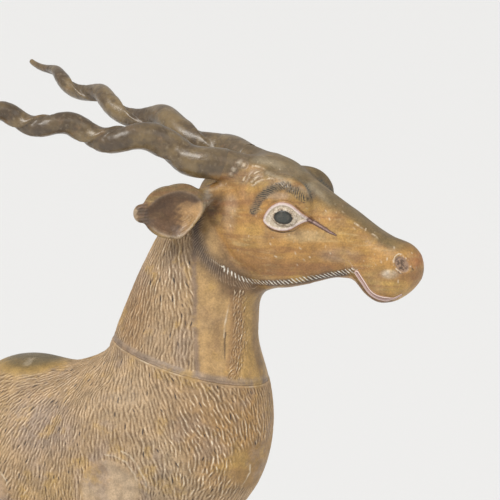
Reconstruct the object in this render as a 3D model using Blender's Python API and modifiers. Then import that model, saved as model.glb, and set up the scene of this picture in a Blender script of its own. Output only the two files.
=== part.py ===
"""Carved wooden antelope with corkscrew horns, standing on a low plinth.

+X is the way the animal faces, +Y its left side and +Z up. The origin is the middle of the plinth's
underside. The figure is carved as two blocks, the body and the head with its neck, parted at a flat
seam round the neck's foot, and each horn is a billet of its own on a flat seat.

The figure's tables count in figure parts, FIGURE_PARTS of them from the soles to the horn tips. Their
heights start SOLES below the soles, and the middle of the four soles is at STANCE_MIDDLE.
"""

import math
from collections import namedtuple

import bmesh
import bpy
import numpy as np
from mathutils import Matrix, Vector

# Sizes in metres
FIGURE_HEIGHT = 0.925
PLINTH_HEIGHT = 0.035
PLINTH_END_MARGIN = 0.050
PLINTH_SIDE_MARGIN = 0.042
PLINTH_BEVEL = 0.005
JOINT_GAP = 0.0003

# Proportions of the figure
FIGURE_PARTS = 925.0
PART = FIGURE_HEIGHT / FIGURE_PARTS
SOLES = 35.0
HOOF_PLACES = (184, -194)
TOE_REACH = 15
STANCE_MIDDLE = sum(HOOF_PLACES) / 2 + TOE_REACH

# Surface mesh, in figure parts
BLANK_GRAIN = 5.0
SURFACE_GRAIN = 3.0
BODY_DETAIL = 4900
HEAD_DETAIL = 9400
HORN_POINTS = 48

# Sections of the trunk: x, belly, back, half width
TRUNK = (
    (-232, 486, 602, 56), (-178, 462, 618, 76), (-120, 450, 616, 80), (-62, 430, 608, 86),
    (-10, 411, 601, 91), (16, 404, 604, 92), (60, 396, 614, 92), (116, 391, 623, 89),
    (140, 392, 631, 86), (165, 395, 643, 83), (205, 410, 640, 75), (245, 440, 615, 60), (280, 480, 585, 35),
)
# Sections of the neck: height, nape, throat, half width
NECK = (
    (500, 220, 300, 25), (530, 196, 325, 50), (560, 176, 340, 64), (600, 165, 349, 69),
    (620, 164, 346, 67), (655, 167, 338, 62), (700, 184, 337, 55), (745, 205, 339, 48),
    (790, 232, 338, 40), (815, 255, 330, 32),
)
# Sections of the head: x, jaw, crown, half width
HEAD = (
    (288, 802, 828, 26), (297, 784, 838, 35), (308, 764, 848, 41), (323, 743, 862, 45),
    (350, 726, 870, 48), (375, 724, 864, 47), (407, 730, 841, 39), (439, 735, 820, 31),
    (455, 730, 810, 28), (468, 720, 801, 27), (480, 714, 793, 27.5), (492, 714, 786.5, 27),
    (505, 719, 781, 25), (517, 730, 774, 20), (525, 742, 767, 13),
)

# Masses and limbs merged into those sections, one after another, each with its fillet. A middle or an
# end is x and height, side is its distance from the middle plane, and one with a side has a twin.
Mass = namedtuple("Mass", "middle radii side lean fillet", defaults=(0, 0, 20))
Limb = namedtuple("Limb", "start end radii side width fillet", defaults=((0, 0), 1.0, 10))
CHEST = Mass((262, 570), (93, 80, 126), fillet=30)
RUMP = Mass((-200, 540), (76, 68, 75), fillet=40)
WITHERS = Mass((56, 591), (52, 42, 34), fillet=24)
SHOULDER = Mass((184, 522), (58, 24, 84), 68, -12, 30)
FORELEG = (
    Limb((188, 470), (170, 410), (40, 27), (64, 59), 0.8, 24),
    Limb((170, 410), (175, 262), (26, 15.5), (59, 55), 0.9, 24),
    Mass((177, 250), (17, 15, 26), 55, 0, 14),
    Limb((176, 240), (173, 112), (13.5, 12), (55, 55), 0.95, 14),
    Mass((172, 98), (15, 14.5, 19), 55, 0, 10),
    Limb((173, 92), (184, 62), (12.5, 13), (55, 55)),
)
HINDLEG = (
    Mass((-182, 514), (72, 32, 92), 56, 14, 26),
    Limb((-160, 474), (-158, 430), (46, 35), (62, 61), 0.75, 34),
    Limb((-160, 430), (-218, 322), (33, 17), (61, 57), 0.85, 24),
    Mass((-226, 306), (18, 14.5, 25), 57, 10, 14),
    Limb((-223, 292), (-206, 116), (14.5, 12.5), (57, 57), 0.95, 14),
    Mass((-205, 102), (15.5, 14.5, 19), 57, 0, 10),
    Limb((-204, 96), (-194, 64), (12.5, 13), (57, 57)),
)
HOOF_SIDE = 56
TOE_SPREAD = 7
TOES = [
    Limb((x, 60), (x + TOE_REACH, 38), (12, 14.5), (HOOF_SIDE + toe, HOOF_SIDE + toe), fillet=4)
    for x in HOOF_PLACES
    for toe in (-TOE_SPREAD, TOE_SPREAD)
]
TAIL = (
    Limb((-255, 592), (-289, 548), (17, 14), width=0.9),
    Limb((-289, 548), (-297, 462), (14, 9), width=0.9),
)
BODY_FORMS = (CHEST, RUMP, WITHERS, SHOULDER, *FORELEG, *HINDLEG, *TOES, *TAIL)
MUZZLE = Mass((506, 753), (23.5, 19, 25), fillet=10)
EYE_SOCKET = Mass((384, 825), (30, 13, 28), 38, -16, 14)

# Roundness of the sections, and the fillets where the neck, pedicles, skull and ears join
BODY_ROUNDNESS = 2.0
HEAD_ROUNDNESS = 2.4
NECK_FILLET = 14
PEDICLE_FILLET = 10
SKULL_FILLET = 6
EAR_FILLET = 5

# Flat seam round the foot of the neck: x and height at the nape and at the chest, and the smooth raised
# band along it, with its middle below the seam
SEAM_BACK = (161, 645)
SEAM_FRONT = (354, 611)
SEAM_BAND_MIDDLE = 5.0
SEAM_BAND_WIDTH = 5.0
SEAM_BAND_HEIGHT = 1.6

# Lines of carving on each side: their points as x and height, how wide they are and how far they stand
# out, less than nothing for a groove
Line = namedtuple("Line", "points width height")
EYE_MIDDLE = (389, 806)
EYE_RADII = (14, 10)
EYE_BULGE = 3.4
EYE_CORNERS = ((364, 801), (415, 797))
EYE_LIDS = (17, 12)
LID_WIDTH = 3.0
LID_HEIGHT = 1.6
TEAR = Line((EYE_CORNERS[1], (446, 785)), 3.0, 1.5)
BROW = Line(((352, 812), (362, 830), (384, 838), (404, 829)), 5.0, 1.0)
JAW = Line(((295, 784), (308, 765), (324, 747), (347, 735), (375, 730), (405, 733)), 6.0, 2.4)
MOUTH = Line(((453, 742), (463, 730), (475, 722), (490, 720), (505, 726), (518, 737)), 2.6, -2.6)
NOSTRIL = Line(((508, 764), (514, 759), (512, 751)), 3.2, -4.5)
THROAT = Line(((287, 722), (290, 690), (297, 655), (307, 630)), 3.0, -1.5)
SHOULDER_DISC = (196, 500)
SHOULDER_DISC_RADIUS = 31
SHOULDER_DISC_HEIGHT = 1.4

# Ears, on the left side
EAR_MIDDLE = Vector((265, 69, 809))
EAR_TIPWARD = Vector((-0.93, 0.36, -0.06)).normalized()
EAR_FACING = Vector((0.36, 0.92, 0.05)).normalized()
EAR_RADII = (40, 29, 16)
EAR_TAPER = 0.35
EAR_RIM = 3.0
BOWL_SHARE = 0.89
BOWL_RAISE = 8.5
EAR_STEM = Limb((314, 832), (286, 820), (12, 10), (32, 52), fillet=8)

# Horns: base on the left side, length, spread and rise in degrees at base and tip
HORN_BASE = Vector((313.4, 32.0, 870.6))
HORN_LENGTH = 410.0
HORN_ROOT = 16.0
HORN_ROOT_DROP = 12.0
DROP_END = 0.16
HORN_SPREAD = (17.7, 34.8)
HORN_RISE = (7.6, 15.4)
PEDICLE_FOOT = (346, 848, 22)
PEDICLE_RADII = (16, 18.5)
HORN_RADII = ((-0.1, 17.5), (0, 18), (0.1, 17), (0.25, 13.5), (0.5, 10.5), (0.75, 9), (0.92, 5.5), (1, 4))
TIP_ROUNDING = (0.7, 0.45)
SEAT_DEPTH = 40.0
SEAT_CLEARANCE = 0.6
SEAT_FLARE = 3.0

# Corkscrew of each horn: swing at base and tip, turns, starting angle, how much it tightens
CORKSCREWS = {"left": (9.1, 2.8, 3.56, 0.6, 0.46), "right": (9.1, 3.5, 5.67, 1.34, 0.85)}
SWING_START = 0.1

COLOURS = {
    "body": ((0.30, 0.20, 0.09), 0.55),
    "head_and_neck": ((0.36, 0.22, 0.08), 0.5),
    "horn_left": ((0.11, 0.08, 0.045), 0.4),
    "horn_right": ((0.11, 0.08, 0.045), 0.4),
    "plinth": ((0.12, 0.075, 0.04), 0.6),
}


def material(name):
    """The paint or stain of one piece."""
    colour, roughness = COLOURS[name]
    made = bpy.data.materials.new(name)
    made.use_nodes = True
    shader = made.node_tree.nodes["Principled BSDF"]
    shader.inputs["Base Color"].default_value = (*colour, 1.0)
    shader.inputs["Roughness"].default_value = roughness
    shader.inputs["Metallic"].default_value = 0.0
    return made


def curve_through(places, heights, at):
    """A smooth curve through the places and heights, read at the given places and level past its ends."""
    steps = np.diff(places)
    slopes = np.diff(heights) / steps
    tangents = np.empty_like(heights)
    tangents[0] = slopes[0]
    tangents[-1] = slopes[-1]
    tangents[1:-1] = (slopes[:-1] * steps[1:] + slopes[1:] * steps[:-1]) / (steps[:-1] + steps[1:])
    at = np.clip(at, places[0], places[-1])
    span = np.clip(np.searchsorted(places, at) - 1, 0, len(steps) - 1)
    step = steps[span]
    t = (at - places[span]) / step
    return (
        (2 * t**3 - 3 * t**2 + 1) * heights[span]
        + (t**3 - 2 * t**2 + t) * step * tangents[span]
        + (3 * t**2 - 2 * t**3) * heights[span + 1]
        + (t**3 - t**2) * step * tangents[span + 1]
    )


def loft(points, sections, along, power):
    """Signed distance to a body with rounded sections across x (along 0) or across z (along 2)."""
    table = np.array(sections, float)
    place = points[:, along]
    other = points[:, 2 - along]
    low, high, half_width = (curve_through(table[:, 0], table[:, k], place) for k in (1, 2, 3))
    half_depth = (high - low) / 2
    depth = np.abs(other - (high + low) / 2) / half_depth
    width = np.abs(points[:, 1]) / half_width
    ring = (depth**power + width**power) ** (1 / power)
    slope = np.hypot(depth / half_depth, width / half_width) / np.maximum(np.hypot(depth, width), 1e-6)
    inside = (ring - 1) / np.maximum(slope, 1e-6)
    return np.maximum(inside, np.maximum(table[0, 0] - place, place - table[-1, 0]))


def mirrored(points):
    """The points of the right side moved onto the left."""
    return points * (1, 0, 1) + np.abs(points) * (0, 1, 0)


def cone(points, start, end, radii, side=(0, 0), width=1.0):
    """Signed distance to a round-ended cone; ends are x and height, side their distance from the middle."""
    squeeze = np.array((1, 1 / width, 1))
    a = np.array((start[0], side[0], start[1])) * squeeze
    b = np.array((end[0], side[1], end[1])) * squeeze
    places = (mirrored(points) if max(side) > 0 else points) * squeeze
    share = np.clip((places - a) @ (b - a) / ((b - a) @ (b - a)), 0, 1)
    return np.linalg.norm(places - a - share[:, None] * (b - a), axis=1) - (
        radii[0] + (radii[1] - radii[0]) * share
    )


def ball(points, middle, radii, side=0, lean=0):
    """Signed distance to an ellipsoid; lean turns it in degrees, nose up."""
    places = (mirrored(points) if side > 0 else points) - (middle[0], side, middle[1])
    turn = math.radians(lean)
    fore = places[:, 0] * math.cos(turn) + places[:, 2] * math.sin(turn)
    rise = places[:, 2] * math.cos(turn) - places[:, 0] * math.sin(turn)
    return ellipsoid(fore, places[:, 1], rise, radii)


def ellipsoid(x, y, z, radii):
    """Signed distance, near the surface, to an ellipsoid at the origin."""
    ring = np.sqrt((x / radii[0]) ** 2 + (y / radii[1]) ** 2 + (z / radii[2]) ** 2)
    slope = np.sqrt((x / radii[0] ** 2) ** 2 + (y / radii[1] ** 2) ** 2 + (z / radii[2] ** 2) ** 2)
    return ring * (ring - 1) / np.maximum(slope, 1e-9)


def merge(first, second, fillet):
    """Union of two forms with a fillet of about the given size."""
    share = np.clip(0.5 + 0.5 * (second - first) / fillet, 0, 1)
    return second + (first - second) * share - fillet * share * (1 - share)


def form_distance(points, form):
    """Signed distance to one mass or limb."""
    if isinstance(form, Mass):
        return ball(points, form.middle, form.radii, form.side, form.lean)
    return cone(points, form.start, form.end, form.radii, form.side, form.width)


def pedicle(points):
    """Signed distance to the stub of skull that carries a horn, cut off at the horn's seat."""
    seat, heading = horn_seat()
    stub = cone(points, PEDICLE_FOOT[:2], (seat[0], seat[2]), PEDICLE_RADII, (PEDICLE_FOOT[2], seat[1]))
    return np.maximum(stub, (mirrored(points) - seat) @ heading - 2)


def ear_axes(points):
    """The places of points on the ear: towards its tip, across it and out of its bowl."""
    across = EAR_FACING.cross(EAR_TIPWARD).normalized()
    facing = EAR_TIPWARD.cross(across)
    axes = np.array((EAR_TIPWARD, across, facing))
    return ((mirrored(points) - np.array(EAR_MIDDLE)) @ axes.T).T


def ear(points):
    """Signed distance to an ear before its bowl is cut: half a tapered leaf and its stem."""
    tipward, across, outward = ear_axes(points)
    taper = 1 - EAR_TAPER * np.clip(tipward / EAR_RADII[0], -1, 1.2)
    leaf = ellipsoid(tipward, across / taper, outward, EAR_RADII)
    leaf = np.maximum(leaf, outward - EAR_RIM)
    return merge(leaf, form_distance(points, EAR_STEM), EAR_STEM.fillet)


def line_distance(points, line):
    """Distance from each point to a line of carving, both seen from the side."""
    seen = points[:, (0, 2)]
    nearest = np.full(len(seen), np.inf)
    for start, end in zip(np.array(line[:-1], float), np.array(line[1:], float)):
        share = np.clip((seen - start) @ (end - start) / ((end - start) @ (end - start)), 0, 1)
        gap = np.linalg.norm(seen - start - share[:, None] * (end - start), axis=1)
        nearest = np.minimum(nearest, gap)
    return nearest


def stroke(points, line):
    """How far a line of carving stands out at each point."""
    return line.height * np.exp(-((line_distance(points, line.points) / line.width) ** 2))


def lid(rise):
    """The upper or lower lid as an arc between the corners of the eye."""
    back, front = (np.array(corner, float) for corner in EYE_CORNERS)
    shares = np.linspace(0, 1, 9)
    arc = back + shares[:, None] * (front - back)
    arc[:, 1] += rise * np.sin(math.pi * shares**0.9)
    return Line(arc, LID_WIDTH, LID_HEIGHT)


def seam_height(points):
    """Height of each point above the neck's seam, measured square to it."""
    run, fall = SEAM_FRONT[0] - SEAM_BACK[0], SEAM_FRONT[1] - SEAM_BACK[1]
    across, up = points[:, 0] - SEAM_BACK[0], points[:, 2] - SEAM_BACK[1]
    return (up * run - across * fall) / math.hypot(run, fall)


def carving(points):
    """How far the carved lines stand out of the form."""
    x, y, z = points[:, 0], np.abs(points[:, 1]), points[:, 2]
    face = np.clip((y - 8) / 8, 0, 1) * (x > 280)
    eye = np.hypot((x - EYE_MIDDLE[0]) / EYE_RADII[0], (z - EYE_MIDDLE[1]) / EYE_RADII[1])
    raised = face * EYE_BULGE * np.sqrt(np.clip(1 - eye**2, 0, 1))
    for line in (lid(EYE_LIDS[0]), lid(-EYE_LIDS[1]), TEAR, BROW, JAW):
        raised += face * stroke(points, line)
    raised += face * (x > 480) * stroke(points, NOSTRIL)
    raised += np.clip((y - 3) / 4, 0, 1) * (x > 440) * stroke(points, MOUTH)
    raised += np.clip((y - 12) / 12, 0, 1) * (x > 250) * stroke(points, THROAT)
    below_band = (seam_height(points) + SEAM_BAND_MIDDLE) / SEAM_BAND_WIDTH
    raised += SEAM_BAND_HEIGHT * np.exp(-(below_band**4)) * (z > 560) * (x > 140)
    disc = np.hypot(x - SHOULDER_DISC[0], z - SHOULDER_DISC[1]) / SHOULDER_DISC_RADIUS
    raised += SHOULDER_DISC_HEIGHT * np.clip((1.08 - disc) / 0.16, 0, 1) * (y > 50)
    return raised


def figure(points):
    """Signed distance to the whole animal without its horns."""
    form = loft(points, TRUNK, 0, BODY_ROUNDNESS)
    for part in BODY_FORMS:
        form = merge(form, form_distance(points, part), part.fillet)
    form = merge(form, loft(points, NECK, 2, BODY_ROUNDNESS), NECK_FILLET)
    skull = loft(points, HEAD, 0, HEAD_ROUNDNESS)
    for part in (MUZZLE, EYE_SOCKET):
        skull = merge(skull, form_distance(points, part), part.fillet)
    skull = merge(skull, pedicle(points), PEDICLE_FILLET)
    form = merge(form, skull, SKULL_FILLET)
    form = merge(form, ear(points), EAR_FILLET)
    return form - carving(points)


def mass_placing(form, hand):
    """Placing of a unit ball as a mass."""
    x, z = form.middle
    lean = Matrix.Rotation(-math.radians(form.lean), 4, "Y")
    return Matrix.Translation((x, hand * form.side, z)) @ lean @ Matrix.Diagonal((*form.radii, 1))


def limb_placings(form, hand):
    """Placings of unit balls strung along a limb."""
    count = 2 + int(math.dist(form.start, form.end) / 7)
    for share in np.linspace(0, 1, count):
        x, z = (form.start[k] + share * (form.end[k] - form.start[k]) for k in (0, 1))
        side, radius = (pair[0] + share * (pair[1] - pair[0]) for pair in (form.side, form.radii))
        size = Matrix.Diagonal((radius, radius * form.width, radius, 1))
        yield Matrix.Translation((x, hand * side, z)) @ size


def section_placings(sections, along, length):
    """Placings of unit balls that fill a body with rounded sections."""
    table = np.array(sections, float)
    for place in np.arange(table[0, 0] + 6, table[-1, 0] - 4, length / 3):
        low, high, wide = (curve_through(table[:, 0], table[:, k], np.array([place]))[0] for k in (1, 2, 3))
        middle, half = (low + high) / 2, (high - low) / 2
        if along:
            yield Matrix.Translation((middle, 0, place)) @ Matrix.Diagonal((half, wide, length / 2, 1))
        else:
            yield Matrix.Translation((place, 0, middle)) @ Matrix.Diagonal((length / 2, wide, half, 1))


def blank_placings():
    """Placings of unit balls that fill the whole animal roughly."""
    for sections, along, length in ((TRUNK, 0, 36), (NECK, 2, 27), (HEAD, 0, 15)):
        yield from section_placings(sections, along, length)
    seat, _ = horn_seat()
    stub = Limb(PEDICLE_FOOT[:2], (seat[0] + 12, seat[2]), PEDICLE_RADII, (PEDICLE_FOOT[2], seat[1] - 4))
    for form in (*BODY_FORMS, MUZZLE, EYE_SOCKET, EAR_STEM, stub):
        for hand in (-1, 1):
            if isinstance(form, Mass):
                yield mass_placing(form, hand)
            else:
                yield from limb_placings(form, hand)
    for hand in (-1, 1):
        yield ear_leaf(hand, 1.0, 0.0)


def in_world(points):
    """Figure parts to metres, with the soles a joint's gap above the plinth."""
    placed = np.array(points, float) - (STANCE_MIDDLE, 0, SOLES)
    return placed * PART + (0, 0, PLINTH_HEIGHT + JOINT_GAP)


def mesh_points(mesh):
    flat = np.empty(len(mesh.vertices) * 3)
    mesh.vertices.foreach_get("co", flat)
    return flat.reshape(-1, 3)


def set_points(mesh, points):
    mesh.vertices.foreach_set("co", points.ravel())
    mesh.update()


def applied(blank, **settings):
    """The blank's mesh after one modifier."""
    kind = settings.pop("kind")
    modifier = blank.modifiers.new(kind.title(), kind)
    for name, value in settings.items():
        setattr(modifier, name, value)
    graph = bpy.context.evaluated_depsgraph_get()
    mesh = bpy.data.meshes.new_from_object(blank.evaluated_get(graph))
    blank.modifiers.remove(modifier)
    old = blank.data
    blank.data = mesh
    bpy.data.meshes.remove(old)
    return mesh


def press_onto_form(mesh, steps):
    """Moves each vertex along the form's slope until it lies on the surface."""
    points = mesh_points(mesh)
    probe = 0.3
    for _ in range(steps):
        value = figure(points)
        slope = np.stack([(figure(points + shift) - value) / probe for shift in probe * np.eye(3)], axis=1)
        length = np.maximum(np.linalg.norm(slope, axis=1), 0.3)
        move = np.clip(value / length, -4.0, 4.0)
        points -= slope / length[:, None] * move[:, None]
    set_points(mesh, points)


def carved_figure():
    """An object with the animal's fine surface, in figure parts."""
    mesh = balls_at(list(blank_placings()))
    blank = bpy.data.objects.new("blank", mesh)
    bpy.context.scene.collection.objects.link(blank)
    for grain, steps in ((BLANK_GRAIN, 8), (SURFACE_GRAIN, 5)):
        mesh = applied(blank, kind="REMESH", mode="VOXEL", voxel_size=grain)
        press_onto_form(mesh, steps)
    return blank


def thinned(blank, detail):
    """A copy of the surface with about the given number of triangles, most where it curves most."""
    copy = bpy.data.objects.new("thinned", blank.data.copy())
    bpy.context.scene.collection.objects.link(copy)
    triangles = sum(len(face.vertices) - 2 for face in copy.data.polygons)
    mesh = applied(copy, kind="DECIMATE", ratio=detail / triangles, use_collapse_triangulate=True)
    bpy.data.objects.remove(copy)
    return mesh


def balls_at(places):
    """One mesh with a ball at each placing."""
    bm = bmesh.new()
    bmesh.ops.create_uvsphere(bm, u_segments=16, v_segments=10, radius=1)
    unit = np.array([(*vert.co, 1) for vert in bm.verts])
    faces = [[vert.index for vert in face.verts] for face in bm.faces]
    bm.free()
    points = np.concatenate([(unit @ np.array(place).T)[:, :3] for place in places])
    copies = [
        [index + copy * len(unit) for index in face] for copy in range(len(places)) for face in faces
    ]
    mesh = bpy.data.meshes.new("blank")
    mesh.from_pydata(points, [], copies)
    return mesh


def ear_leaf(hand, scale, raised):
    """Placing of a unit ball as the ear's leaf, in figure parts."""
    mirror = Matrix.Diagonal((1, hand, 1, 1))
    across = EAR_FACING.cross(EAR_TIPWARD).normalized()
    facing = EAR_TIPWARD.cross(across)
    turn = Matrix((EAR_TIPWARD, across, facing)).transposed().to_4x4()
    size = Matrix.Diagonal((*(scale * radius for radius in EAR_RADII), 1))
    return mirror @ Matrix.Translation(EAR_MIDDLE + raised * facing) @ turn @ size


def cut_flat(mesh, point, normal):
    """Keeps what lies behind the plane and closes the cut with flat faces."""
    bm = bmesh.new()
    bm.from_mesh(mesh)
    everything = bm.verts[:] + bm.edges[:] + bm.faces[:]
    bmesh.ops.bisect_plane(bm, geom=everything, plane_co=point, plane_no=normal, clear_outer=True, dist=1e-5)
    rims = [edge for edge in bm.edges if edge.is_boundary]
    bmesh.ops.holes_fill(bm, edges=rims, sides=0)
    bmesh.ops.triangulate(bm, faces=[face for face in bm.faces if len(face.verts) > 3])
    bmesh.ops.recalc_face_normals(bm, faces=bm.faces)
    bm.to_mesh(mesh)
    bm.free()


def placed_object(name, mesh, collection):
    """A mesh in figure parts as an object at its real size and place."""
    set_points(mesh, in_world(mesh_points(mesh)))
    made = bpy.data.objects.new(name, mesh)
    collection.objects.link(made)
    return made


def finish(made, name):
    """Gives a piece its name, material and smooth shading."""
    made.name = name
    made.data.materials.clear()
    made.data.materials.append(material(name))
    if made.type == "MESH":
        made.data.shade_smooth()
        made.data.set_sharp_from_angle(angle=math.radians(40))


def horn_headings(shares):
    """Direction of a horn's axis at each share of its length, on the left side."""
    spread = np.radians(HORN_SPREAD[0] + (HORN_SPREAD[1] - HORN_SPREAD[0]) * shares)
    rise = np.radians(HORN_RISE[0] + (HORN_RISE[1] - HORN_RISE[0]) * shares)
    return np.stack([-np.cos(rise) * np.cos(spread), np.cos(rise) * np.sin(spread), np.sin(rise)], axis=1)


def horn_seat():
    """Middle and direction of the left horn's flat seat."""
    heading = horn_headings(np.zeros(1))[0]
    return np.array(HORN_BASE) - HORN_ROOT * heading - (0, 0, HORN_ROOT_DROP), heading


def horn_line(hand):
    """Middle line of a horn from its root to its tip, and its radius at each point."""
    root = -HORN_ROOT / HORN_LENGTH
    shares = np.concatenate((np.linspace(root, 0, 3)[:-1], np.linspace(0, 1, HORN_POINTS)))
    fine = np.linspace(0, 1, 400)
    travelled = np.cumsum(horn_headings(fine), axis=0) * HORN_LENGTH / len(fine)
    travelled -= travelled[0]
    axis = np.stack([np.interp(shares, fine, travelled[:, k]) for k in range(3)], axis=1)
    t = np.clip(shares, 0, 1)
    ahead = horn_headings(t)
    axis += np.minimum(shares, 0)[:, None] * HORN_LENGTH * ahead
    sideways = np.cross(ahead, (0, 0, 1))
    sideways /= np.linalg.norm(sideways, axis=1)[:, None]
    upward = np.cross(sideways, ahead)
    swing_base, swing_tip, turns, start, tightening = CORKSCREWS[hand]
    swing = (swing_base + (swing_tip - swing_base) * t) * np.minimum(1, t / SWING_START)
    angle = 2 * math.pi * turns * (t + tightening * t**2) / (1 + tightening) + start
    coil = np.cos(angle)[:, None] * upward + np.sin(angle)[:, None] * sideways
    line = np.array(HORN_BASE) + axis + swing[:, None] * coil
    settle = 1 - np.clip(shares / DROP_END, 0, 1)
    line[:, 2] -= HORN_ROOT_DROP * settle**2 * (3 - 2 * settle)
    radii = np.interp(shares, *zip(*HORN_RADII))
    heading = ahead[0]
    if hand == "right":
        line[:, 1] *= -1
        heading = heading * (1, -1, 1)
    return line, radii, Vector(heading)


def horn(hand, collection):
    """A corkscrew horn as a tube whose radius falls to a blunt tip."""
    line, radii, heading = horn_line(hand)
    line[0] += np.array(heading) * JOINT_GAP / PART
    tip = line[-1] - line[-2]
    line = np.vstack([line, line[-1] + tip / np.linalg.norm(tip) * radii[-1] * TIP_ROUNDING[0]])
    radii = np.append(radii, radii[-1] * TIP_ROUNDING[1])
    curve = bpy.data.curves.new(f"horn_{hand}", "CURVE")
    curve.dimensions = "3D"
    curve.bevel_depth = PART
    curve.bevel_resolution = 3
    curve.use_fill_caps = True
    spline = curve.splines.new("POLY")
    spline.points.add(len(line) - 1)
    spline.use_smooth = True
    for point, place, radius in zip(spline.points, in_world(line), radii):
        point.co = (*place, 1)
        point.radius = radius
    made = bpy.data.objects.new(f"horn_{hand}", curve)
    collection.objects.link(made)
    finish(made, f"horn_{hand}")


def cut_from(target, cutter, collection):
    """Takes a closed cutter's shape out of the target."""
    collection.objects.link(cutter)
    cutter.hide_render = True
    cutter.display_type = "WIRE"
    modifier = target.modifiers.new(cutter.name, "BOOLEAN")
    modifier.operation = "DIFFERENCE"
    modifier.solver = "EXACT"
    modifier.object = cutter


def seat_cutter(hand):
    """A round cutter that leaves a flat seat for the horn and clears its first turn."""
    line, radii, heading = horn_line(hand)
    middle = Vector(line[0]) + heading * SEAT_DEPTH / 2
    turn = Vector((0, 0, 1)).rotation_difference(heading).to_matrix().to_4x4()
    bm = bmesh.new()
    bmesh.ops.create_cone(
        bm,
        cap_ends=True,
        segments=32,
        radius1=radii[0] + SEAT_CLEARANCE,
        radius2=radii[0] + SEAT_CLEARANCE + SEAT_FLARE,
        depth=SEAT_DEPTH,
        matrix=Matrix.Translation(middle) @ turn,
    )
    return mesh_object(bm, f"seat_cutter_{hand}")


def bowl_cutter(hand):
    """A tapered leaf that hollows the ear."""
    bm = bmesh.new()
    bmesh.ops.create_uvsphere(bm, u_segments=24, v_segments=12, radius=1)
    for vert in bm.verts:
        vert.co.y *= 1 - EAR_TAPER * vert.co.x
    bmesh.ops.transform(bm, matrix=ear_leaf(hand, BOWL_SHARE, BOWL_RAISE), verts=bm.verts)
    bmesh.ops.recalc_face_normals(bm, faces=bm.faces)
    return mesh_object(bm, f"bowl_cutter_{'left' if hand > 0 else 'right'}")


def mesh_object(bm, name):
    """An object at its real size from a bmesh in figure parts."""
    mesh = bpy.data.meshes.new(name)
    bm.to_mesh(mesh)
    bm.free()
    set_points(mesh, in_world(mesh_points(mesh)))
    return bpy.data.objects.new(name, mesh)


def plinth(stance, collection):
    """A low block under the hooves, with a margin round them."""
    low, high = stance
    length = high[0] - low[0] + 2 * PLINTH_END_MARGIN
    width = high[1] - low[1] + 2 * PLINTH_SIDE_MARGIN
    bpy.ops.mesh.primitive_cube_add(size=1)
    made = bpy.context.active_object
    made.data.transform(Matrix.Diagonal((length, width, PLINTH_HEIGHT, 1)))
    made.location = (0, 0, PLINTH_HEIGHT / 2)
    edges = made.modifiers.new("Eased edges", "BEVEL")
    edges.width = PLINTH_BEVEL
    edges.segments = 3
    for holder in made.users_collection:
        holder.objects.unlink(made)
    collection.objects.link(made)
    finish(made, "plinth")


def main():
    for old in list(bpy.data.objects):
        bpy.data.objects.remove(old)
    pieces = bpy.data.collections.new("carved_wooden_antelope")
    cutters = bpy.data.collections.new("cutters")
    for collection in (pieces, cutters):
        bpy.context.scene.collection.children.link(collection)

    surface = carved_figure()
    rise = Vector((SEAM_BACK[1] - SEAM_FRONT[1], 0, SEAM_FRONT[0] - SEAM_BACK[0])).normalized()
    seam = Vector((SEAM_BACK[0], 0, SEAM_BACK[1]))
    half_gap = rise * JOINT_GAP / PART / 2
    lower = thinned(surface, BODY_DETAIL)
    cut_flat(lower, (0, 0, SOLES), (0, 0, -1))
    soles = [vert.co for vert in lower.vertices if vert.co.z < SOLES + 0.01]
    stance = [in_world([[pick(sole[k] for sole in soles) for k in range(3)]])[0] for pick in (min, max)]
    cut_flat(lower, seam - half_gap, rise)
    finish(placed_object("body", lower, pieces), "body")
    upper = thinned(surface, HEAD_DETAIL)
    cut_flat(upper, seam + half_gap, -rise)
    head_and_neck = placed_object("head_and_neck", upper, pieces)
    finish(head_and_neck, "head_and_neck")
    bpy.data.objects.remove(surface)
    for hand, side in (("left", 1), ("right", -1)):
        cut_from(head_and_neck, seat_cutter(hand), cutters)
        cut_from(head_and_neck, bowl_cutter(side), cutters)
        horn(hand, pieces)
    plinth(stance, pieces)


main()
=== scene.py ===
"""Looks of the carved wooden antelope: its carved and painted surface, horns, plinth and studio.

The tables count in figure parts, which are millimetres at this size. Their heights start SOLES below the
soles, and the middle of the four soles is at STANCE_MIDDLE. Lines of carving are given as x and height and
lie on both sides of the animal, whose right side is the -Y side.
"""

import contextlib
import math
from collections import namedtuple

import bmesh
import bpy
import numpy as np
from mathutils import Matrix, Vector


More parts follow.
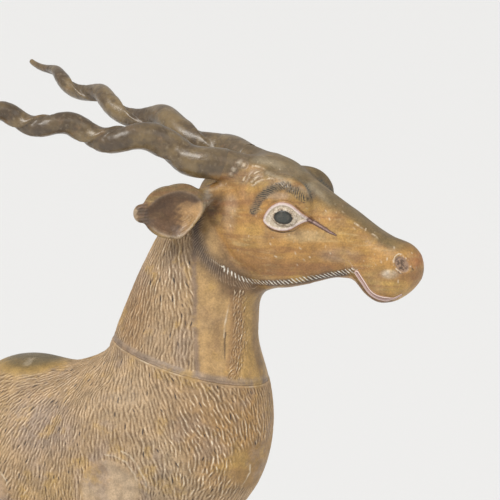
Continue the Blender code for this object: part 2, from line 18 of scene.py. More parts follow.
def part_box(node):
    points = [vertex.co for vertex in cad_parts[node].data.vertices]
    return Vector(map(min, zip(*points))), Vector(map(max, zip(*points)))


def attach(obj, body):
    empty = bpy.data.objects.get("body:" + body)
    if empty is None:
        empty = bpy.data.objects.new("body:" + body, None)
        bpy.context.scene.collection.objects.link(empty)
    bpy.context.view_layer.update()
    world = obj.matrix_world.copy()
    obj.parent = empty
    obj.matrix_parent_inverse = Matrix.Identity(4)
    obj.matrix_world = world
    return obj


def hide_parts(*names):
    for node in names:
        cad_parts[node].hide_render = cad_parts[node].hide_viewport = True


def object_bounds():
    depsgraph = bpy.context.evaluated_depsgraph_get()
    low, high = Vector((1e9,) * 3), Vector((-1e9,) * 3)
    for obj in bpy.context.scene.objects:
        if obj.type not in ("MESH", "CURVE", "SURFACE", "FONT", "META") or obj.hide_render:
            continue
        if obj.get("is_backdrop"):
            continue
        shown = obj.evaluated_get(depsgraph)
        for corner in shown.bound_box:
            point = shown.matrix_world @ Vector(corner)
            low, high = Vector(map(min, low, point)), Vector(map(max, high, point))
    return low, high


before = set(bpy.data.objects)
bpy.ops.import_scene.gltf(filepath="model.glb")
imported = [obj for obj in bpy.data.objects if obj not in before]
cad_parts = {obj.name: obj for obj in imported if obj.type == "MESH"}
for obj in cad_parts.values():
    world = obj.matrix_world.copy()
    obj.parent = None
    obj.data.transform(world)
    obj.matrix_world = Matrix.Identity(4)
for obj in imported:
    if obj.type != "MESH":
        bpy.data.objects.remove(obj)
solid_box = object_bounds()

# In metres, as in the solids: the plinth, the gap between pieces and one figure part
PLINTH_HEIGHT = 0.035
JOINT_GAP = 0.0003
PART = 0.001

# In figure parts, like the tables of the form below
SOLES = 35.0
HOOF_PLACES = (184, -194)
TOE_REACH = 15
STANCE_MIDDLE = sum(HOOF_PLACES) / 2 + TOE_REACH

# Grain of the carved surface at first, in between and in the end
BLANK_GRAIN = 5.0
MIDDLE_GRAIN = 2.6
FINE_GRAIN = 2.2
# How far the carved surface lies inside the form
PRESSED_IN = 0.35
# Lowest and highest x and height of the places with the finest lines: eye, mouth and crown
DETAIL_BOXES = ((350, 424, 788, 846), (460, 524, 714, 774), (326, 378, 834, 868))
# x at which the body and the head are parted into pieces
HIND_END = -90
FORE_START = 150
CHEST_START = 240
FACE_START = 322
MUZZLE_START = 452

# Sections: x, lowest and highest height, half width; for the neck height, rear and front x, half width
TRUNK = (
    (-232, 486, 602, 56), (-178, 462, 618, 76), (-120, 450, 616, 80), (-62, 430, 608, 86),
    (-10, 411, 601, 91), (16, 404, 604, 92), (60, 396, 614, 92), (116, 391, 623, 89),
    (140, 392, 631, 86), (165, 395, 643, 83), (205, 410, 640, 75), (245, 440, 615, 60),
    (280, 480, 585, 35),
)
NECK = (
    (500, 220, 300, 25), (530, 196, 325, 50), (560, 176, 340, 64), (600, 165, 342.5, 69),
    (620, 164, 339, 67), (655, 167, 337, 62), (700, 184, 338.5, 55), (745, 205, 339, 48),
    (790, 232, 338, 40), (815, 255, 330, 32),
)
HEAD = (
    (288, 802, 828, 26), (297, 784, 838, 35), (308, 764, 848, 41), (323, 743, 862, 45),
    (350, 726, 870, 48), (375, 724, 864, 47), (407, 731, 841, 39), (439, 738, 820, 31),
    (455, 735, 810, 28), (468, 721, 801, 27), (480, 714, 793, 27.5), (492, 714, 786.5, 27),
    (505, 719, 781, 25), (517, 730, 774, 20), (525, 742, 767, 13),
)
# Ends and middles of forms are x and height, side their distance from the animal's middle plane
Mass = namedtuple("Mass", "middle radii side lean fillet", defaults=(0, 0, 20))
Limb = namedtuple("Limb", "start end radii side width fillet", defaults=((0, 0), 1.0, 10))
CHEST = Mass((262, 570), (91.8, 80, 126), fillet=30)
RUMP = Mass((-200, 540), (76, 68, 75), fillet=40)
WITHERS = Mass((56, 591), (52, 42, 34), fillet=24)
SHOULDER = Mass((184, 522), (58, 24, 84), 68, -12, 30)
FORELEG = (
    Limb((188, 470), (170, 410), (40, 27), (64, 59), 0.8, 24),
    Limb((170, 410), (175, 262), (26, 15.5), (59, 55), 0.9, 24),
    Mass((177, 250), (17, 15, 26), 55, 0, 14),
    Limb((176, 240), (173, 112), (13.5, 12), (55, 55), 0.95, 14),
    Mass((172, 98), (15, 14.5, 19), 55, 0, 10),
    Limb((173, 92), (184, 62), (12.5, 13), (55, 55)),
)
HINDLEG = (
    Mass((-182, 514), (72, 32, 92), 56, 14, 26),
    Limb((-160, 474), (-158, 430), (46, 35), (62, 61), 0.75, 34),
    Limb((-160, 430), (-218, 322), (33, 17), (61, 57), 0.85, 24),
    Mass((-226, 306), (18, 14.5, 25), 57, 10, 14),
    Limb((-223, 292), (-206, 116), (14.5, 12.5), (57, 57), 0.95, 14),
    Mass((-205, 102), (15.5, 14.5, 19), 57, 0, 10),
    Limb((-204, 96), (-194, 64), (12.5, 13), (57, 57)),
)
HOOF_SIDE = 56
TOE_SPREAD = 7
TOES = [
    Limb((x, 60), (x + TOE_REACH, 38), (12, 14.5), (HOOF_SIDE + toe, HOOF_SIDE + toe), fillet=4)
    for x in HOOF_PLACES
    for toe in (-TOE_SPREAD, TOE_SPREAD)
]
TAIL = (
    Limb((-255, 592), (-289, 548), (17, 14), width=0.9),
    Limb((-289, 548), (-297, 462), (14, 9), width=0.9),
)
BODY_FORMS = (CHEST, RUMP, WITHERS, SHOULDER, *FORELEG, *HINDLEG, *TOES, *TAIL)
MUZZLE = Mass((506, 753), (23.5, 19, 25), fillet=10)
EYE_SOCKET = Mass((384, 825), (30, 13, 28), 38, -16, 14)
BODY_ROUNDNESS = 2.0
HEAD_ROUNDNESS = 2.4
NECK_FILLET = 14
PEDICLE_FILLET = 10
SKULL_FILLET = 6
THROAT_FILLET = 34
NOSE_FILLET = 16
EAR_FILLET = 5
BOWL_FILLET = 3

SEAM_BACK = (161, 659)
SEAM_FRONT = (354, 613)
SEAM_BAND_MIDDLE = 5.0
SEAM_BAND_WIDTH = 5.0
SEAM_BAND_HEIGHT = 1.2

# Strokes of one kind: spacing across and along the flow, length and width
Cuts = namedtuple("Cuts", "across along length width")
RIDGES = Cuts(3.2, 8.0, 15.5, 1.15)
NICKS = Cuts(5.5, 11.0, 9.5, 0.75)
FLECKS = Cuts(6.5, 8.0, 5.0, 0.8)
NEIGHBOURS = [(i, j, k) for i in (0, -1, 1) for j in (0, -1, 1) for k in (0, -1, 1)]
CELL = 12.0
# Distance given to points that a line of carving doesn't reach
FAR = 99.0

Line = namedtuple("Line", "points width height")
EYE_MIDDLE = (389, 807)
EYE_RADII = (14, 10)
EYE_BULGE = 3.4
IRIS_MIDDLE = (388.5, 807)
IRIS_RADII = (10.2, 7.8)
EYE_UPPER = (
    (365, 802), (366, 806.5), (368.5, 811), (372, 815.5), (376, 819), (380.5, 821.5), (385, 822.8),
    (389, 823.1), (393, 822.5), (397, 820.8), (401, 818), (405, 814), (410, 808.8), (416, 803),
)
EYE_LOWER = (
    (365, 802), (367, 799.3), (370, 796.8), (373.5, 794.8), (377.5, 793.1), (382, 792.2), (387, 792.1),
    (391.5, 792.8), (395.5, 794.3), (399, 796.5), (403, 799), (408, 801.7), (416, 803),
)
JAW = Line(((295, 784), (308, 765), (324, 747), (347, 735), (375, 730), (405, 733)), 6.0, 2.4)
BROW = Line(((352, 815), (362, 834), (384, 843), (406, 830)), 5.0, 1.2)
TEAR = ((413, 804), (418, 801), (425, 797), (434, 791.5), (441, 788))
LIPS = (
    (463, 748), (466, 743.5), (470.5, 737), (475, 729.5), (479, 725.5), (484, 722.5), (492, 720.5),
    (502, 721.5), (512, 727.5),
)
CREST = (
    (322, 866), (332, 867), (349, 860), (363, 855), (378, 851), (391, 848), (405, 841), (420, 830),
    (440, 816), (456, 804), (470, 795), (488, 785), (504, 780), (524, 770),
)
JAW_BAND = (
    (284, 802), (283, 786), (287, 770), (295, 757), (304, 748), (314, 739), (326, 732), (342, 728),
)
BRISTLES = (
    (314, 746), (321, 740.5), (329, 735.5), (338, 732.5), (350, 731.5), (365, 732), (382, 733.5),
    (398, 736.5), (413, 739.5), (429, 743), (448, 747.5), (459, 750.5),
)
LASHES = ((354, 812), (357, 819), (361, 825), (369, 833), (379, 839), (390, 841), (401, 836), (410, 827))
PANEL_REAR = ((285, 740), (287, 728), (288, 711), (288, 690), (291, 668), (294, 647), (297, 632))
NOSTRIL_MIDDLE = (512, 759.5)
NOSTRIL_RADII = (11.0, 7.0)
NOSTRIL_LEAN = 56
PALE_LINES = (
    Line(((339, 842), (341, 846), (344, 850)), 1.4, 1.0),
    Line(((342, 841), (345, 845.5), (349, 850)), 1.6, 1.1),
    Line(((347.5, 841), (351, 844.5), (355, 847.5), (360, 849.5)), 1.8, 1.1),
    Line(((352.5, 840), (356, 842.5), (361, 845), (367, 846.5)), 1.7, 1.1),
    Line(((377, 847.5), (371, 847.3), (365, 846)), 1.1, 0.8),
    Line(((344, 846.5), (347, 850.5), (351, 854)), 1.1, 0.8),
    Line(((350, 850), (354, 853), (359, 855)), 1.1, 0.8),
    Line(((356, 841.5), (351.5, 838.8), (346.5, 839.2)), 1.1, 0.9),
    Line(((349, 860), (356, 858), (364, 855)), 1.2, 0.8),
    Line(((456, 802), (463, 797), (470, 793)), 0.9, 0.6),
    Line(((475, 790.5), (481, 787), (486, 783)), 0.8, 0.5),
    Line(((503.5, 762), (504.5, 767), (507.5, 770), (511, 770), (514.5, 766.5)), 0.9, 0.7),
    Line(((315.5, 668), (316, 684), (318, 697), (321, 713)), 1.0, 0.6),
    Line(((193, 540), (208, 539), (220, 533), (229, 519), (232, 503), (230, 486)), 1.3, 0.9),
    Line(((212, 546), (224, 541), (233, 529), (240, 511), (239, 488), (236, 470)), 1.3, 0.9),
    Line(((58, 511), (66, 505), (71, 498), (74, 486)), 1.3, 0.9),
    Line(((342, 530), (340, 518), (334, 506), (326, 496)), 0.7, 0.5),
)
# Painted highlights: soft light streaks along the top of the forehead
FOREHEAD_HIGHLIGHTS = (
    Line(((344, 867), (366, 862), (392, 851)), 3.2, 0.5),
    Line(((402, 841), (416, 831), (430, 820)), 2.2, 0.3),
    Line(((362, 853), (380, 849), (396, 843)), 2.0, 0.3),
)
DARK_LINES = (
    Line(((400, 821), (407, 814), (415, 805.5)), 0.8, 0.5),
    # Painted shadow under the lower lid, also cut in a little
    Line(((367, 797), (374, 792), (386, 789.8), (397, 791.5), (405, 797.5), (412, 800)), 0.9, 0.5),
    Line(((506, 764), (509, 767), (512, 766)), 0.6, 0.6),
    Line(((511, 763), (513, 759), (518, 755.5), (520, 754)), 0.9, 1.0),
    Line(((507, 754), (511, 750), (516, 750)), 0.8, 0.6),
    Line(((521, 757), (523, 753), (521, 750)), 0.7, 0.4),
    Line(((317, 678), (316.5, 664), (318, 650), (320, 634)), 1.0, 0.6),
)
# Discs and patches without fur: middle and radius, and for the withers x, reach along it and to the side.
# The discs lie farther from the middle plane than FLAT_SIDE
FLAT_SIDE = 45
SHOULDER_DISC = (199, 501, 31)
SHOULDER_DISC_HEIGHT = 1.4
FLANK_DISC = (30, 484, 40)
HUMP = (62, 47, 44)
CHEST_PATCH = ((346, 520), (22, 34))

EAR_MIDDLE = Vector((265, 69, 809))
EAR_TIPWARD = Vector((-0.93, 0.36, -0.06)).normalized()
EAR_FACING = Vector((0.36, 0.92, 0.05)).normalized()
EAR_RADII = (40, 29, 16)
EAR_TAPER = 0.38
EAR_TIP_REACH = 30.5
EAR_RIM = 3.0
EAR_CURL = 31
EAR_CURL_RADII = (9.5, 10.5, 8)
# The ear's lower edge towards the neck is cut straight, this far from its middle and at this slant
EAR_SHEAR_REACH = 29.5
EAR_SHEAR = (0.741, 0.671)
EAR_SHEAR_FILLET = 7
BOWL_WALL = 3.4
BOWL_RADII = (37, 24.6, 14.2)
BOWL_DROP = 3.2
BOWL_RAISE = 8.5
EAR_STEM = Limb((314, 832), (286, 820), (12, 10), (32, 52), fillet=8)

HORN_BASE = Vector((313.4, 32.0, 870.6))
HORN_LENGTH = 410.0
HORN_RINGS = 340
HORN_ROOT = 16.0
HORN_ROOT_DROP = 12.0
DROP_END = 0.16
HORN_SPREAD = (17.7, 34.8)
HORN_RISE = (7.6, 15.4)
PEDICLE_FOOT = (346, 848, 22)
PEDICLE_RADII = (19, 18.1)
PEDICLE_REACH = 20
# Share of the length from the root, and radius there
HORN_RADII = (
    (-0.1, 8.0), (0, 17.8), (0.1, 17.0), (0.25, 13.8), (0.5, 10.8), (0.75, 8.9), (0.92, 5.0), (1, 3.2),
)
# How far the axis is swung out at root and tip, number of turns, their start and how they tighten
CORKSCREWS = {"left": (9.1, 2.8, 3.56, 0.6, 0.46), "right": (9.1, 3.5, 5.67, 1.34, 0.85)}
SWING_START = 0.1
HORN_SWELL = 0.17
HORN_LEDGE = 0.34
LEDGE_TURNS = {"left": 2.6, "right": 4.62}

# The photograph's view, with its angles in degrees and its distance in metres
PHOTO_AIM = (330, 0, 762)
PHOTO_TURN = 22
PHOTO_RISE = 8.3
PHOTO_DISTANCE = 2.3
PHOTO_LENS = 150.5

# Paints, as linear colours
FUR_TAN = (0.43, 0.290, 0.160)
FUR_BROWN = (0.34, 0.205, 0.100)
GROOVE = (0.155, 0.090, 0.040)
CREST_PAINT = (0.66, 0.50, 0.33)
# Painted highlight: cream glints laid on the crests of the fur
PAINTED_GLINT = (0.86, 0.74, 0.56)
NICK_PAINT = (0.030, 0.026, 0.028)
OCHRE = (0.47, 0.255, 0.075)
GOLD = (0.54, 0.335, 0.095)
RED_BROWN = (0.26, 0.115, 0.050)
RUST = (0.48, 0.20, 0.07)
LILAC = (0.34, 0.255, 0.200)
OLIVE = (0.180, 0.130, 0.062)
FAR_BROW_SHADE = (0.115, 0.082, 0.042)
HORN_BROWN = (0.150, 0.108, 0.062)
UMBER_AND_SHADOW = (0.060, 0.038, 0.024)
SHADOW = (0.038, 0.024, 0.018)
BORDER = (0.27, 0.185, 0.130)
BROWN = (0.16, 0.090, 0.045)
CREAM = (0.74, 0.61, 0.44)
PINK = (0.56, 0.40, 0.37)
TEAR_PINK = (0.40, 0.27, 0.25)
EYE_RIM = (0.76, 0.63, 0.58)
EYE_BEIGE = (0.62, 0.52, 0.39)
IRIS = (0.060, 0.064, 0.056)
LASH = (0.028, 0.030, 0.030)
COPPER = (0.62, 0.37, 0.16)
EAR_BROWN = (0.105, 0.058, 0.032)
STEM_GREY = (0.28, 0.235, 0.19)
HOOF = (0.040, 0.028, 0.020)
HUMP_OLIVE = (0.140, 0.108, 0.052)
DISC_TAN = (0.50, 0.375, 0.25)
FLANK_TAN = (0.44, 0.30, 0.20)
CHEST_BROWN = (0.33, 0.190, 0.060)
PANEL_TAN = (0.50, 0.315, 0.135)
STRIP_BROWN = (0.38, 0.22, 0.095)
NECK_GOLD = (0.50, 0.315, 0.11)
SMEAR_BROWN = (0.33, 0.20, 0.095)
FOREHEAD_SHEEN = (0.40, 0.335, 0.235)
KNOB_HIGHLIGHT = (0.66, 0.55, 0.42)
JAW_SHADE = (0.070, 0.048, 0.040)
LASH_WASH = (0.135, 0.122, 0.090)
THROAT_SHADE = (0.17, 0.100, 0.050)
EAR_RUST = (0.16, 0.085, 0.042)
EAR_TIP = (0.60, 0.46, 0.31)
SEAM_GREY = (0.32, 0.245, 0.19)
SEAM_DARK = (0.15, 0.100, 0.070)
WORN_GOLD = (0.60, 0.43, 0.20)
BRISTLE = (0.98, 0.92, 0.80)
EYE_DAB = (0.88, 0.80, 0.68)
EYE_SMUDGE = (0.36, 0.27, 0.20)
IRIS_EDGE = (0.026, 0.025, 0.020)
IRIS_GLASS = (0.12, 0.105, 0.085)
TEAR_EDGE = (0.10, 0.050, 0.042)
LIP_PINK = (0.80, 0.62, 0.55)
NOSTRIL = (0.36, 0.25, 0.19)
NOSTRIL_RIM = (0.80, 0.68, 0.54)
HORN_DARK = (0.085, 0.053, 0.024)
HORN_LIGHT = (0.225, 0.155, 0.070)
HORN_RUST = (0.28, 0.165, 0.078)
HORN_RUBBED = (0.36, 0.285, 0.195)
HORN_HOLLOW = (0.070, 0.046, 0.028)
HORN_DENT = (0.060, 0.042, 0.026)
PEDICLE_BROWN = (0.33, 0.200, 0.085)
PLINTH_DARK = (0.045, 0.026, 0.014)
PLINTH_BROWN = (0.13, 0.075, 0.038)
PLINTH_PORE = (0.02, 0.012, 0.008)
PLINTH_WORN = (0.22, 0.14, 0.075)

Patch = namedtuple("Patch", "place radii colour share")
BODY_PATCHES = (
    Patch((300, 600), (70, 55), FUR_BROWN, 0.4),
    Patch((325, 550), (55, 60), OCHRE, 0.55),
    Patch((110, 560), (62, 34), LILAC, 0.75),
    Patch((205, 605), (70, 40), (0.50, 0.36, 0.22), 0.5),
    Patch((40, 560), (40, 50), GOLD, 0.30),
    Patch((140, 480), (60, 40), GOLD, 0.30),
    Patch((255, 520), (45, 60), (0.52, 0.39, 0.25), 0.45),
    Patch((-120, 520), (90, 60), LILAC, 0.45),
    Patch((-190, 470), (70, 60), OCHRE, 0.35),
    Patch((-60, 420), (110, 26), BROWN, 0.45),
    Patch((180, 300), (50, 120), FUR_BROWN, 0.6),
    Patch((-200, 260), (50, 150), FUR_BROWN, 0.6),
)
HEAD_PATCHES = (
    Patch((392, 768), (58, 17), OCHRE, 0.5),
    Patch((372, 752), (62, 12), RED_BROWN, 0.42),
    Patch((350, 785), (22, 18), GOLD, 0.55),
    Patch((410, 787), (32, 8), (0.50, 0.37, 0.20), 0.6),
    Patch((452, 792), (30, 13), GOLD, 0.6),
    Patch((425, 818), (26, 10), (0.46, 0.29, 0.10), 0.7),
    Patch((446, 766), (26, 9), LILAC, 0.55),
    Patch((330, 742), (34, 8), BROWN, 0.45),
    Patch((430, 750), (40, 7), RED_BROWN, 0.5),
    Patch((487, 742), (26, 15), (0.45, 0.31, 0.12), 0.6),
    Patch((524, 762), (7, 9), RUST, 0.8),
    # Painted highlight: a cream blotch below the nostril
    Patch((500, 748.5), (10, 5.5), (0.86, 0.78, 0.62), 0.95),
    Patch((505, 735), (16, 8), GOLD, 0.6),
    Patch((479, 760), (7, 9), (0.48, 0.27, 0.08), 0.5),
    Patch((499, 783), (24, 8), BROWN, 0.55),
    Patch((527, 742), (9, 14), BROWN, 0.5),
    Patch((326, 818), (10, 12), (0.52, 0.36, 0.24), 0.6),
    Patch((345, 830), (14, 12), (0.46, 0.25, 0.12), 0.5),
    # Painted shadow under the horn and behind the ear's stem
    Patch((302, 812), (22, 26), UMBER_AND_SHADOW, 0.80),
    Patch((356, 847), (24, 11), (0.24, 0.180, 0.105), 0.85),
    Patch((336, 848), (14, 10), (0.36, 0.265, 0.175), 0.6),
    Patch((318, 843), (14, 8), BROWN, 0.6),
    Patch((324, 800), (10, 16), (0.50, 0.34, 0.20), 0.5),
    Patch((384, 830), (20, 5), (0.56, 0.41, 0.28), 0.6),
)
KNOB_LUMPS = ((335, 862.5, 3.2), (339.5, 860, 2.6), (330, 855, 2.9), (326.5, 850, 2.3))
# Middle and radii of the places with pale flecks, and how many there are
FLECK_PLACES = (
    ((432, 812), (24, 10), 0.9),
    ((386, 781), (20, 7), 0.8),
    ((420, 790), (14, 6), 0.6),
    ((324, 812), (10, 18), 0.8),
    ((308, 772), (12, 10), 0.8),
    ((384, 830), (18, 4), 0.9),
    ((400, 768), (50, 10), 0.16),
    ((470, 795), (20, 10), 0.4),
    ((478, 760), (20, 20), 0.15),
)
NECK_PATCHES = (
    Patch((205, 700), (34, 64), FUR_BROWN, 0.85),
    Patch((262, 745), (26, 26), LILAC, 0.35),
    Patch((250, 665), (30, 26), (0.44, 0.31, 0.19), 0.5),
    Patch((275, 660), (12, 30), LILAC, 0.5),
    Patch((215, 740), (20, 30), LILAC, 0.4),
)


def curve_through(places, heights, at):
    """A smooth curve through the places and heights, read at the given places and level past its ends."""
    steps = np.diff(places)
    slopes = np.diff(heights) / steps
    tangents = np.empty_like(heights)
    tangents[0] = slopes[0]
    tangents[-1] = slopes[-1]
    tangents[1:-1] = (slopes[:-1] * steps[1:] + slopes[1:] * steps[:-1]) / (steps[:-1] + steps[1:])
    at = np.clip(at, places[0], places[-1])
    span = np.clip(np.searchsorted(places, at) - 1, 0, len(steps) - 1)
    step = steps[span]
    t = (at - places[span]) / step
    return (
        (2 * t**3 - 3 * t**2 + 1) * heights[span]
        + (t**3 - 2 * t**2 + t) * step * tangents[span]
        + (3 * t**2 - 2 * t**3) * heights[span + 1]
        + (t**3 - t**2) * step * tangents[span + 1]
    )


def loft(points, sections, along, power):
    """Signed distance to a body with rounded sections across x (along 0) or across z (along 2)."""
    table = np.array(sections, float)
    place = points[:, along]
    other = points[:, 2 - along]
    low, high, half_width = (curve_through(table[:, 0], table[:, k], place) for k in (1, 2, 3))
    half_depth = (high - low) / 2
    depth = np.abs(other - (high + low) / 2) / half_depth
    width = np.abs(points[:, 1]) / half_width
    ring = (depth**power + width**power) ** (1 / power)
    slope = np.hypot(depth / half_depth, width / half_width) / np.maximum(np.hypot(depth, width), 1e-6)
    inside = (ring - 1) / np.maximum(slope, 1e-6)
    return np.maximum(inside, np.maximum(table[0, 0] - place, place - table[-1, 0]))


def mirrored(points):
    """The points of the right side moved onto the left."""
    return points * (1, 0, 1) + np.abs(points) * (0, 1, 0)


def cone(points, start, end, radii, side=(0, 0), width=1.0):
    """Signed distance to a round-ended cone; ends are x and height, side their distance from the middle."""
    squeeze = np.array((1, 1 / width, 1))
    a = np.array((start[0], side[0], start[1])) * squeeze
    b = np.array((end[0], side[1], end[1])) * squeeze
    places = (mirrored(points) if max(side) > 0 else points) * squeeze
    share = np.clip((places - a) @ (b - a) / ((b - a) @ (b - a)), 0, 1)
    return np.linalg.norm(places - a - share[:, None] * (b - a), axis=1) - (
        radii[0] + (radii[1] - radii[0]) * share
    )


def ball(points, middle, radii, side=0, lean=0):
    """Signed distance to an ellipsoid; lean turns it in degrees, nose up."""
    places = (mirrored(points) if side > 0 else points) - (middle[0], side, middle[1])
    turn = math.radians(lean)
    fore = places[:, 0] * math.cos(turn) + places[:, 2] * math.sin(turn)
    rise = places[:, 2] * math.cos(turn) - places[:, 0] * math.sin(turn)
    return ellipsoid(fore, places[:, 1], rise, radii)


def ellipsoid(x, y, z, radii):
    """Signed distance, near the surface, to an ellipsoid at the origin."""
    ring = np.sqrt((x / radii[0]) ** 2 + (y / radii[1]) ** 2 + (z / radii[2]) ** 2)
    slope = np.sqrt((x / radii[0] ** 2) ** 2 + (y / radii[1] ** 2) ** 2 + (z / radii[2] ** 2) ** 2)
    return ring * (ring - 1) / np.maximum(slope, 1e-9)


def merge(first, second, fillet):
    """Union of two forms with a fillet of about the given size."""
    share = np.clip(0.5 + 0.5 * (second - first) / fillet, 0, 1)
    return second + (first - second) * share - fillet * share * (1 - share)


def form_distance(points, form):
    """Signed distance to one mass or limb."""
    if isinstance(form, Mass):
        return ball(points, form.middle, form.radii, form.side, form.lean)
    return cone(points, form.start, form.end, form.radii, form.side, form.width)


def reach(form):
    """The lowest and highest x and height that a form and its fillet touch."""
    margin = form.fillet + 8
    if isinstance(form, Mass):
        size = max(form.radii[0], form.radii[2]) + margin
        return np.array(form.middle) - size, np.array(form.middle) + size
    ends = np.array((form.start, form.end), float)
    size = max(form.radii) + margin
    return ends.min(0) - size, ends.max(0) + size


def horn_headings(shares):
    """Direction of a horn's axis at each share of its length, on the left side."""
    spread = np.radians(HORN_SPREAD[0] + (HORN_SPREAD[1] - HORN_SPREAD[0]) * shares)
    rise = np.radians(HORN_RISE[0] + (HORN_RISE[1] - HORN_RISE[0]) * shares)
    return np.stack([-np.cos(rise) * np.cos(spread), np.cos(rise) * np.sin(spread), np.sin(rise)], axis=1)


def horn_seat():
    """Middle and direction of the left horn's root."""
    heading = horn_headings(np.zeros(1))[0]
    return np.array(HORN_BASE) - HORN_ROOT * heading - (0, 0, HORN_ROOT_DROP), heading


def pedicle(points):
    """Signed distance to the stub of skull that carries a horn and runs on over its root."""
    seat, heading = horn_seat()
    end = seat + PEDICLE_REACH * heading
    return cone(points, PEDICLE_FOOT[:2], (end[0], end[2]), PEDICLE_RADII, (PEDICLE_FOOT[2], end[1]))


def ear_axes(points):
    """The places of points on the ear: towards its tip, across it and out of its bowl."""
    across = EAR_FACING.cross(EAR_TIPWARD).normalized()
    facing = EAR_TIPWARD.cross(across)
    axes = np.array((EAR_TIPWARD, across, facing))
    return ((mirrored(points) - np.array(EAR_MIDDLE)) @ axes.T).T


def ear(points):
    """Signed distance to an ear before its bowl is cut: half a tapered leaf and its stem."""
    tipward, across, outward = ear_axes(points)
    taper = 1 - EAR_TAPER * np.clip(tipward / EAR_RADII[0], -1, 0)
    drawn = np.where(tipward > 0, tipward * EAR_RADII[0] / EAR_TIP_REACH, tipward)
    leaf = ellipsoid(drawn, across / taper, outward, EAR_RADII)
    leaf = merge(leaf, ellipsoid(tipward - EAR_CURL, across, outward + 3, EAR_CURL_RADII), EAR_FILLET)
    leaf = np.maximum(sheared(leaf, tipward, across, EAR_SHEAR_REACH), outward - EAR_RIM)
    return merge(leaf, form_distance(points, EAR_STEM), EAR_STEM.fillet)


def sheared(form, tipward, across, reach):
    """The form with the ear's straight lower edge, at a reach from its middle."""
    within = reach + EAR_SHEAR[0] * tipward + EAR_SHEAR[1] * across
    return -merge(-form, within, EAR_SHEAR_FILLET)


def bowl(points):
    """Signed distance to the hollow of an ear."""
    tipward, across, outward = ear_axes(points)
    taper = 1 - EAR_TAPER * np.clip(tipward / BOWL_RADII[0], -1, 1)
    drawn = np.where(tipward > 0, tipward * BOWL_RADII[0] / (EAR_TIP_REACH - 1.5), tipward)
    hollow = ellipsoid(drawn, (across + BOWL_DROP) / taper, outward - BOWL_RAISE, BOWL_RADII)
    return sheared(hollow, tipward, across, EAR_SHEAR_REACH - BOWL_WALL)


def along_line(points, line):
    """Arc length of the nearest place on a line seen from the side, and the distance to its left."""
    seen = points[:, (0, 2)]
    nearest = np.full(len(seen), np.inf)
    arc = np.zeros(len(seen))
    offset = np.zeros(len(seen))
    passed = 0.0
    for start, end in zip(np.array(line[:-1], float), np.array(line[1:], float)):
        run = end - start
        length = math.hypot(*run)
        share = np.clip((seen - start) @ run / length**2, 0, 1)
        away = seen - start - share[:, None] * run
        gap = np.linalg.norm(away, axis=1)
        closer = gap < nearest
        nearest[closer] = gap[closer]
        arc[closer] = passed + share[closer] * length
        side = np.sign(run[0] * away[:, 1] - run[1] * away[:, 0])
        offset[closer] = (side * gap)[closer]
        passed += length
    return arc, offset


def stroke(points, line):
    """How far a line of carving stands out at each point."""
    _, offset = along_line(points, line.points)
    return line.height * bell(offset, 0, line.width)


def almond(points):
    """Signed distance to the outline of the eye, less than nothing inside."""
    _, above = along_line(points, EYE_UPPER)
    _, over = along_line(points, EYE_LOWER)
    return np.maximum(above, -over)


def seam_height(points):
    """Height of each point above the neck's seam, measured square to it."""
    run, fall = SEAM_FRONT[0] - SEAM_BACK[0], SEAM_FRONT[1] - SEAM_BACK[1]
    across, up = points[:, 0] - SEAM_BACK[0], points[:, 2] - SEAM_BACK[1]
    return (up * run - across * fall) / math.hypot(run, fall)


def broad_carving(points):
    """How far the broad carved forms stand out: eyeball, brow, jaw, seam band and shoulder disc."""
    x, y, z = points[:, 0], np.abs(points[:, 1]), points[:, 2]
    raised = np.zeros(len(points))
    on_head = np.flatnonzero((x > 280) & (z > 690) & (y > 8))
    if len(on_head):
        head = points[on_head]
        face = np.clip((y[on_head] - 8) / 8, 0, 1)
        eye = oval(x[on_head], z[on_head], EYE_MIDDLE, EYE_RADII)
        eyeball = EYE_BULGE * np.sqrt(np.clip(1 - eye**2, 0, 1))
        raised[on_head] = face * (eyeball + stroke(head, BROW) + stroke(head, JAW))
    below_band = (seam_height(points) + SEAM_BAND_MIDDLE) / SEAM_BAND_WIDTH
    near_seam = (z > 560) * (x > 140) * smooth(356, 325, x)
    raised += SEAM_BAND_HEIGHT * np.exp(-(below_band**4)) * near_seam
    disc = from_disc(x, z, SHOULDER_DISC)
    raised += SHOULDER_DISC_HEIGHT * np.clip((1.08 - disc) / 0.16, 0, 1) * (y > 50)
    return raised


def skull_distance(points):
    """Signed distance to the head without its ears."""
    skull = loft(points, HEAD, 0, HEAD_ROUNDNESS)
    skull = -merge(-skull, HEAD[-1][0] - points[:, 0], NOSE_FILLET)
    for part in (MUZZLE, EYE_SOCKET):
        skull = merge(skull, form_distance(points, part), part.fillet)
    return merge(skull, pedicle(points), PEDICLE_FILLET)


def figure(points):
    """Signed distance to the whole animal without its horns and fine carving."""
    form = loft(points, TRUNK, 0, BODY_ROUNDNESS)
    seen = points[:, (0, 2)]
    for part in BODY_FORMS:
        low, high = reach(part)
        near = np.flatnonzero(((seen > low) & (seen < high)).all(1))
        form[near] = merge(form[near], form_distance(points[near], part), part.fillet)
    form = merge(form, loft(points, NECK, 2, BODY_ROUNDNESS), NECK_FILLET)
    near = np.flatnonzero((points[:, 2] > 690) & (points[:, 0] > 190))
    head = points[near]
    x, y, z = head[:, 0], np.abs(head[:, 1]), head[:, 2]
    beneath = smooth(305, 330, x) * smooth(775, 745, z) * smooth(42, 14, y)
    upper = merge(form[near], skull_distance(head), SKULL_FILLET + THROAT_FILLET * beneath)
    upper = merge(upper, ear(head), EAR_FILLET)
    form[near] = -merge(-upper, bowl(head), BOWL_FILLET)
    return form - broad_carving(points) + PRESSED_IN


def mass_placing(form, hand):
    """Placing of a unit ball as a mass."""
    x, z = form.middle
    lean = Matrix.Rotation(-math.radians(form.lean), 4, "Y")
    return Matrix.Translation((x, hand * form.side, z)) @ lean @ Matrix.Diagonal((*form.radii, 1))


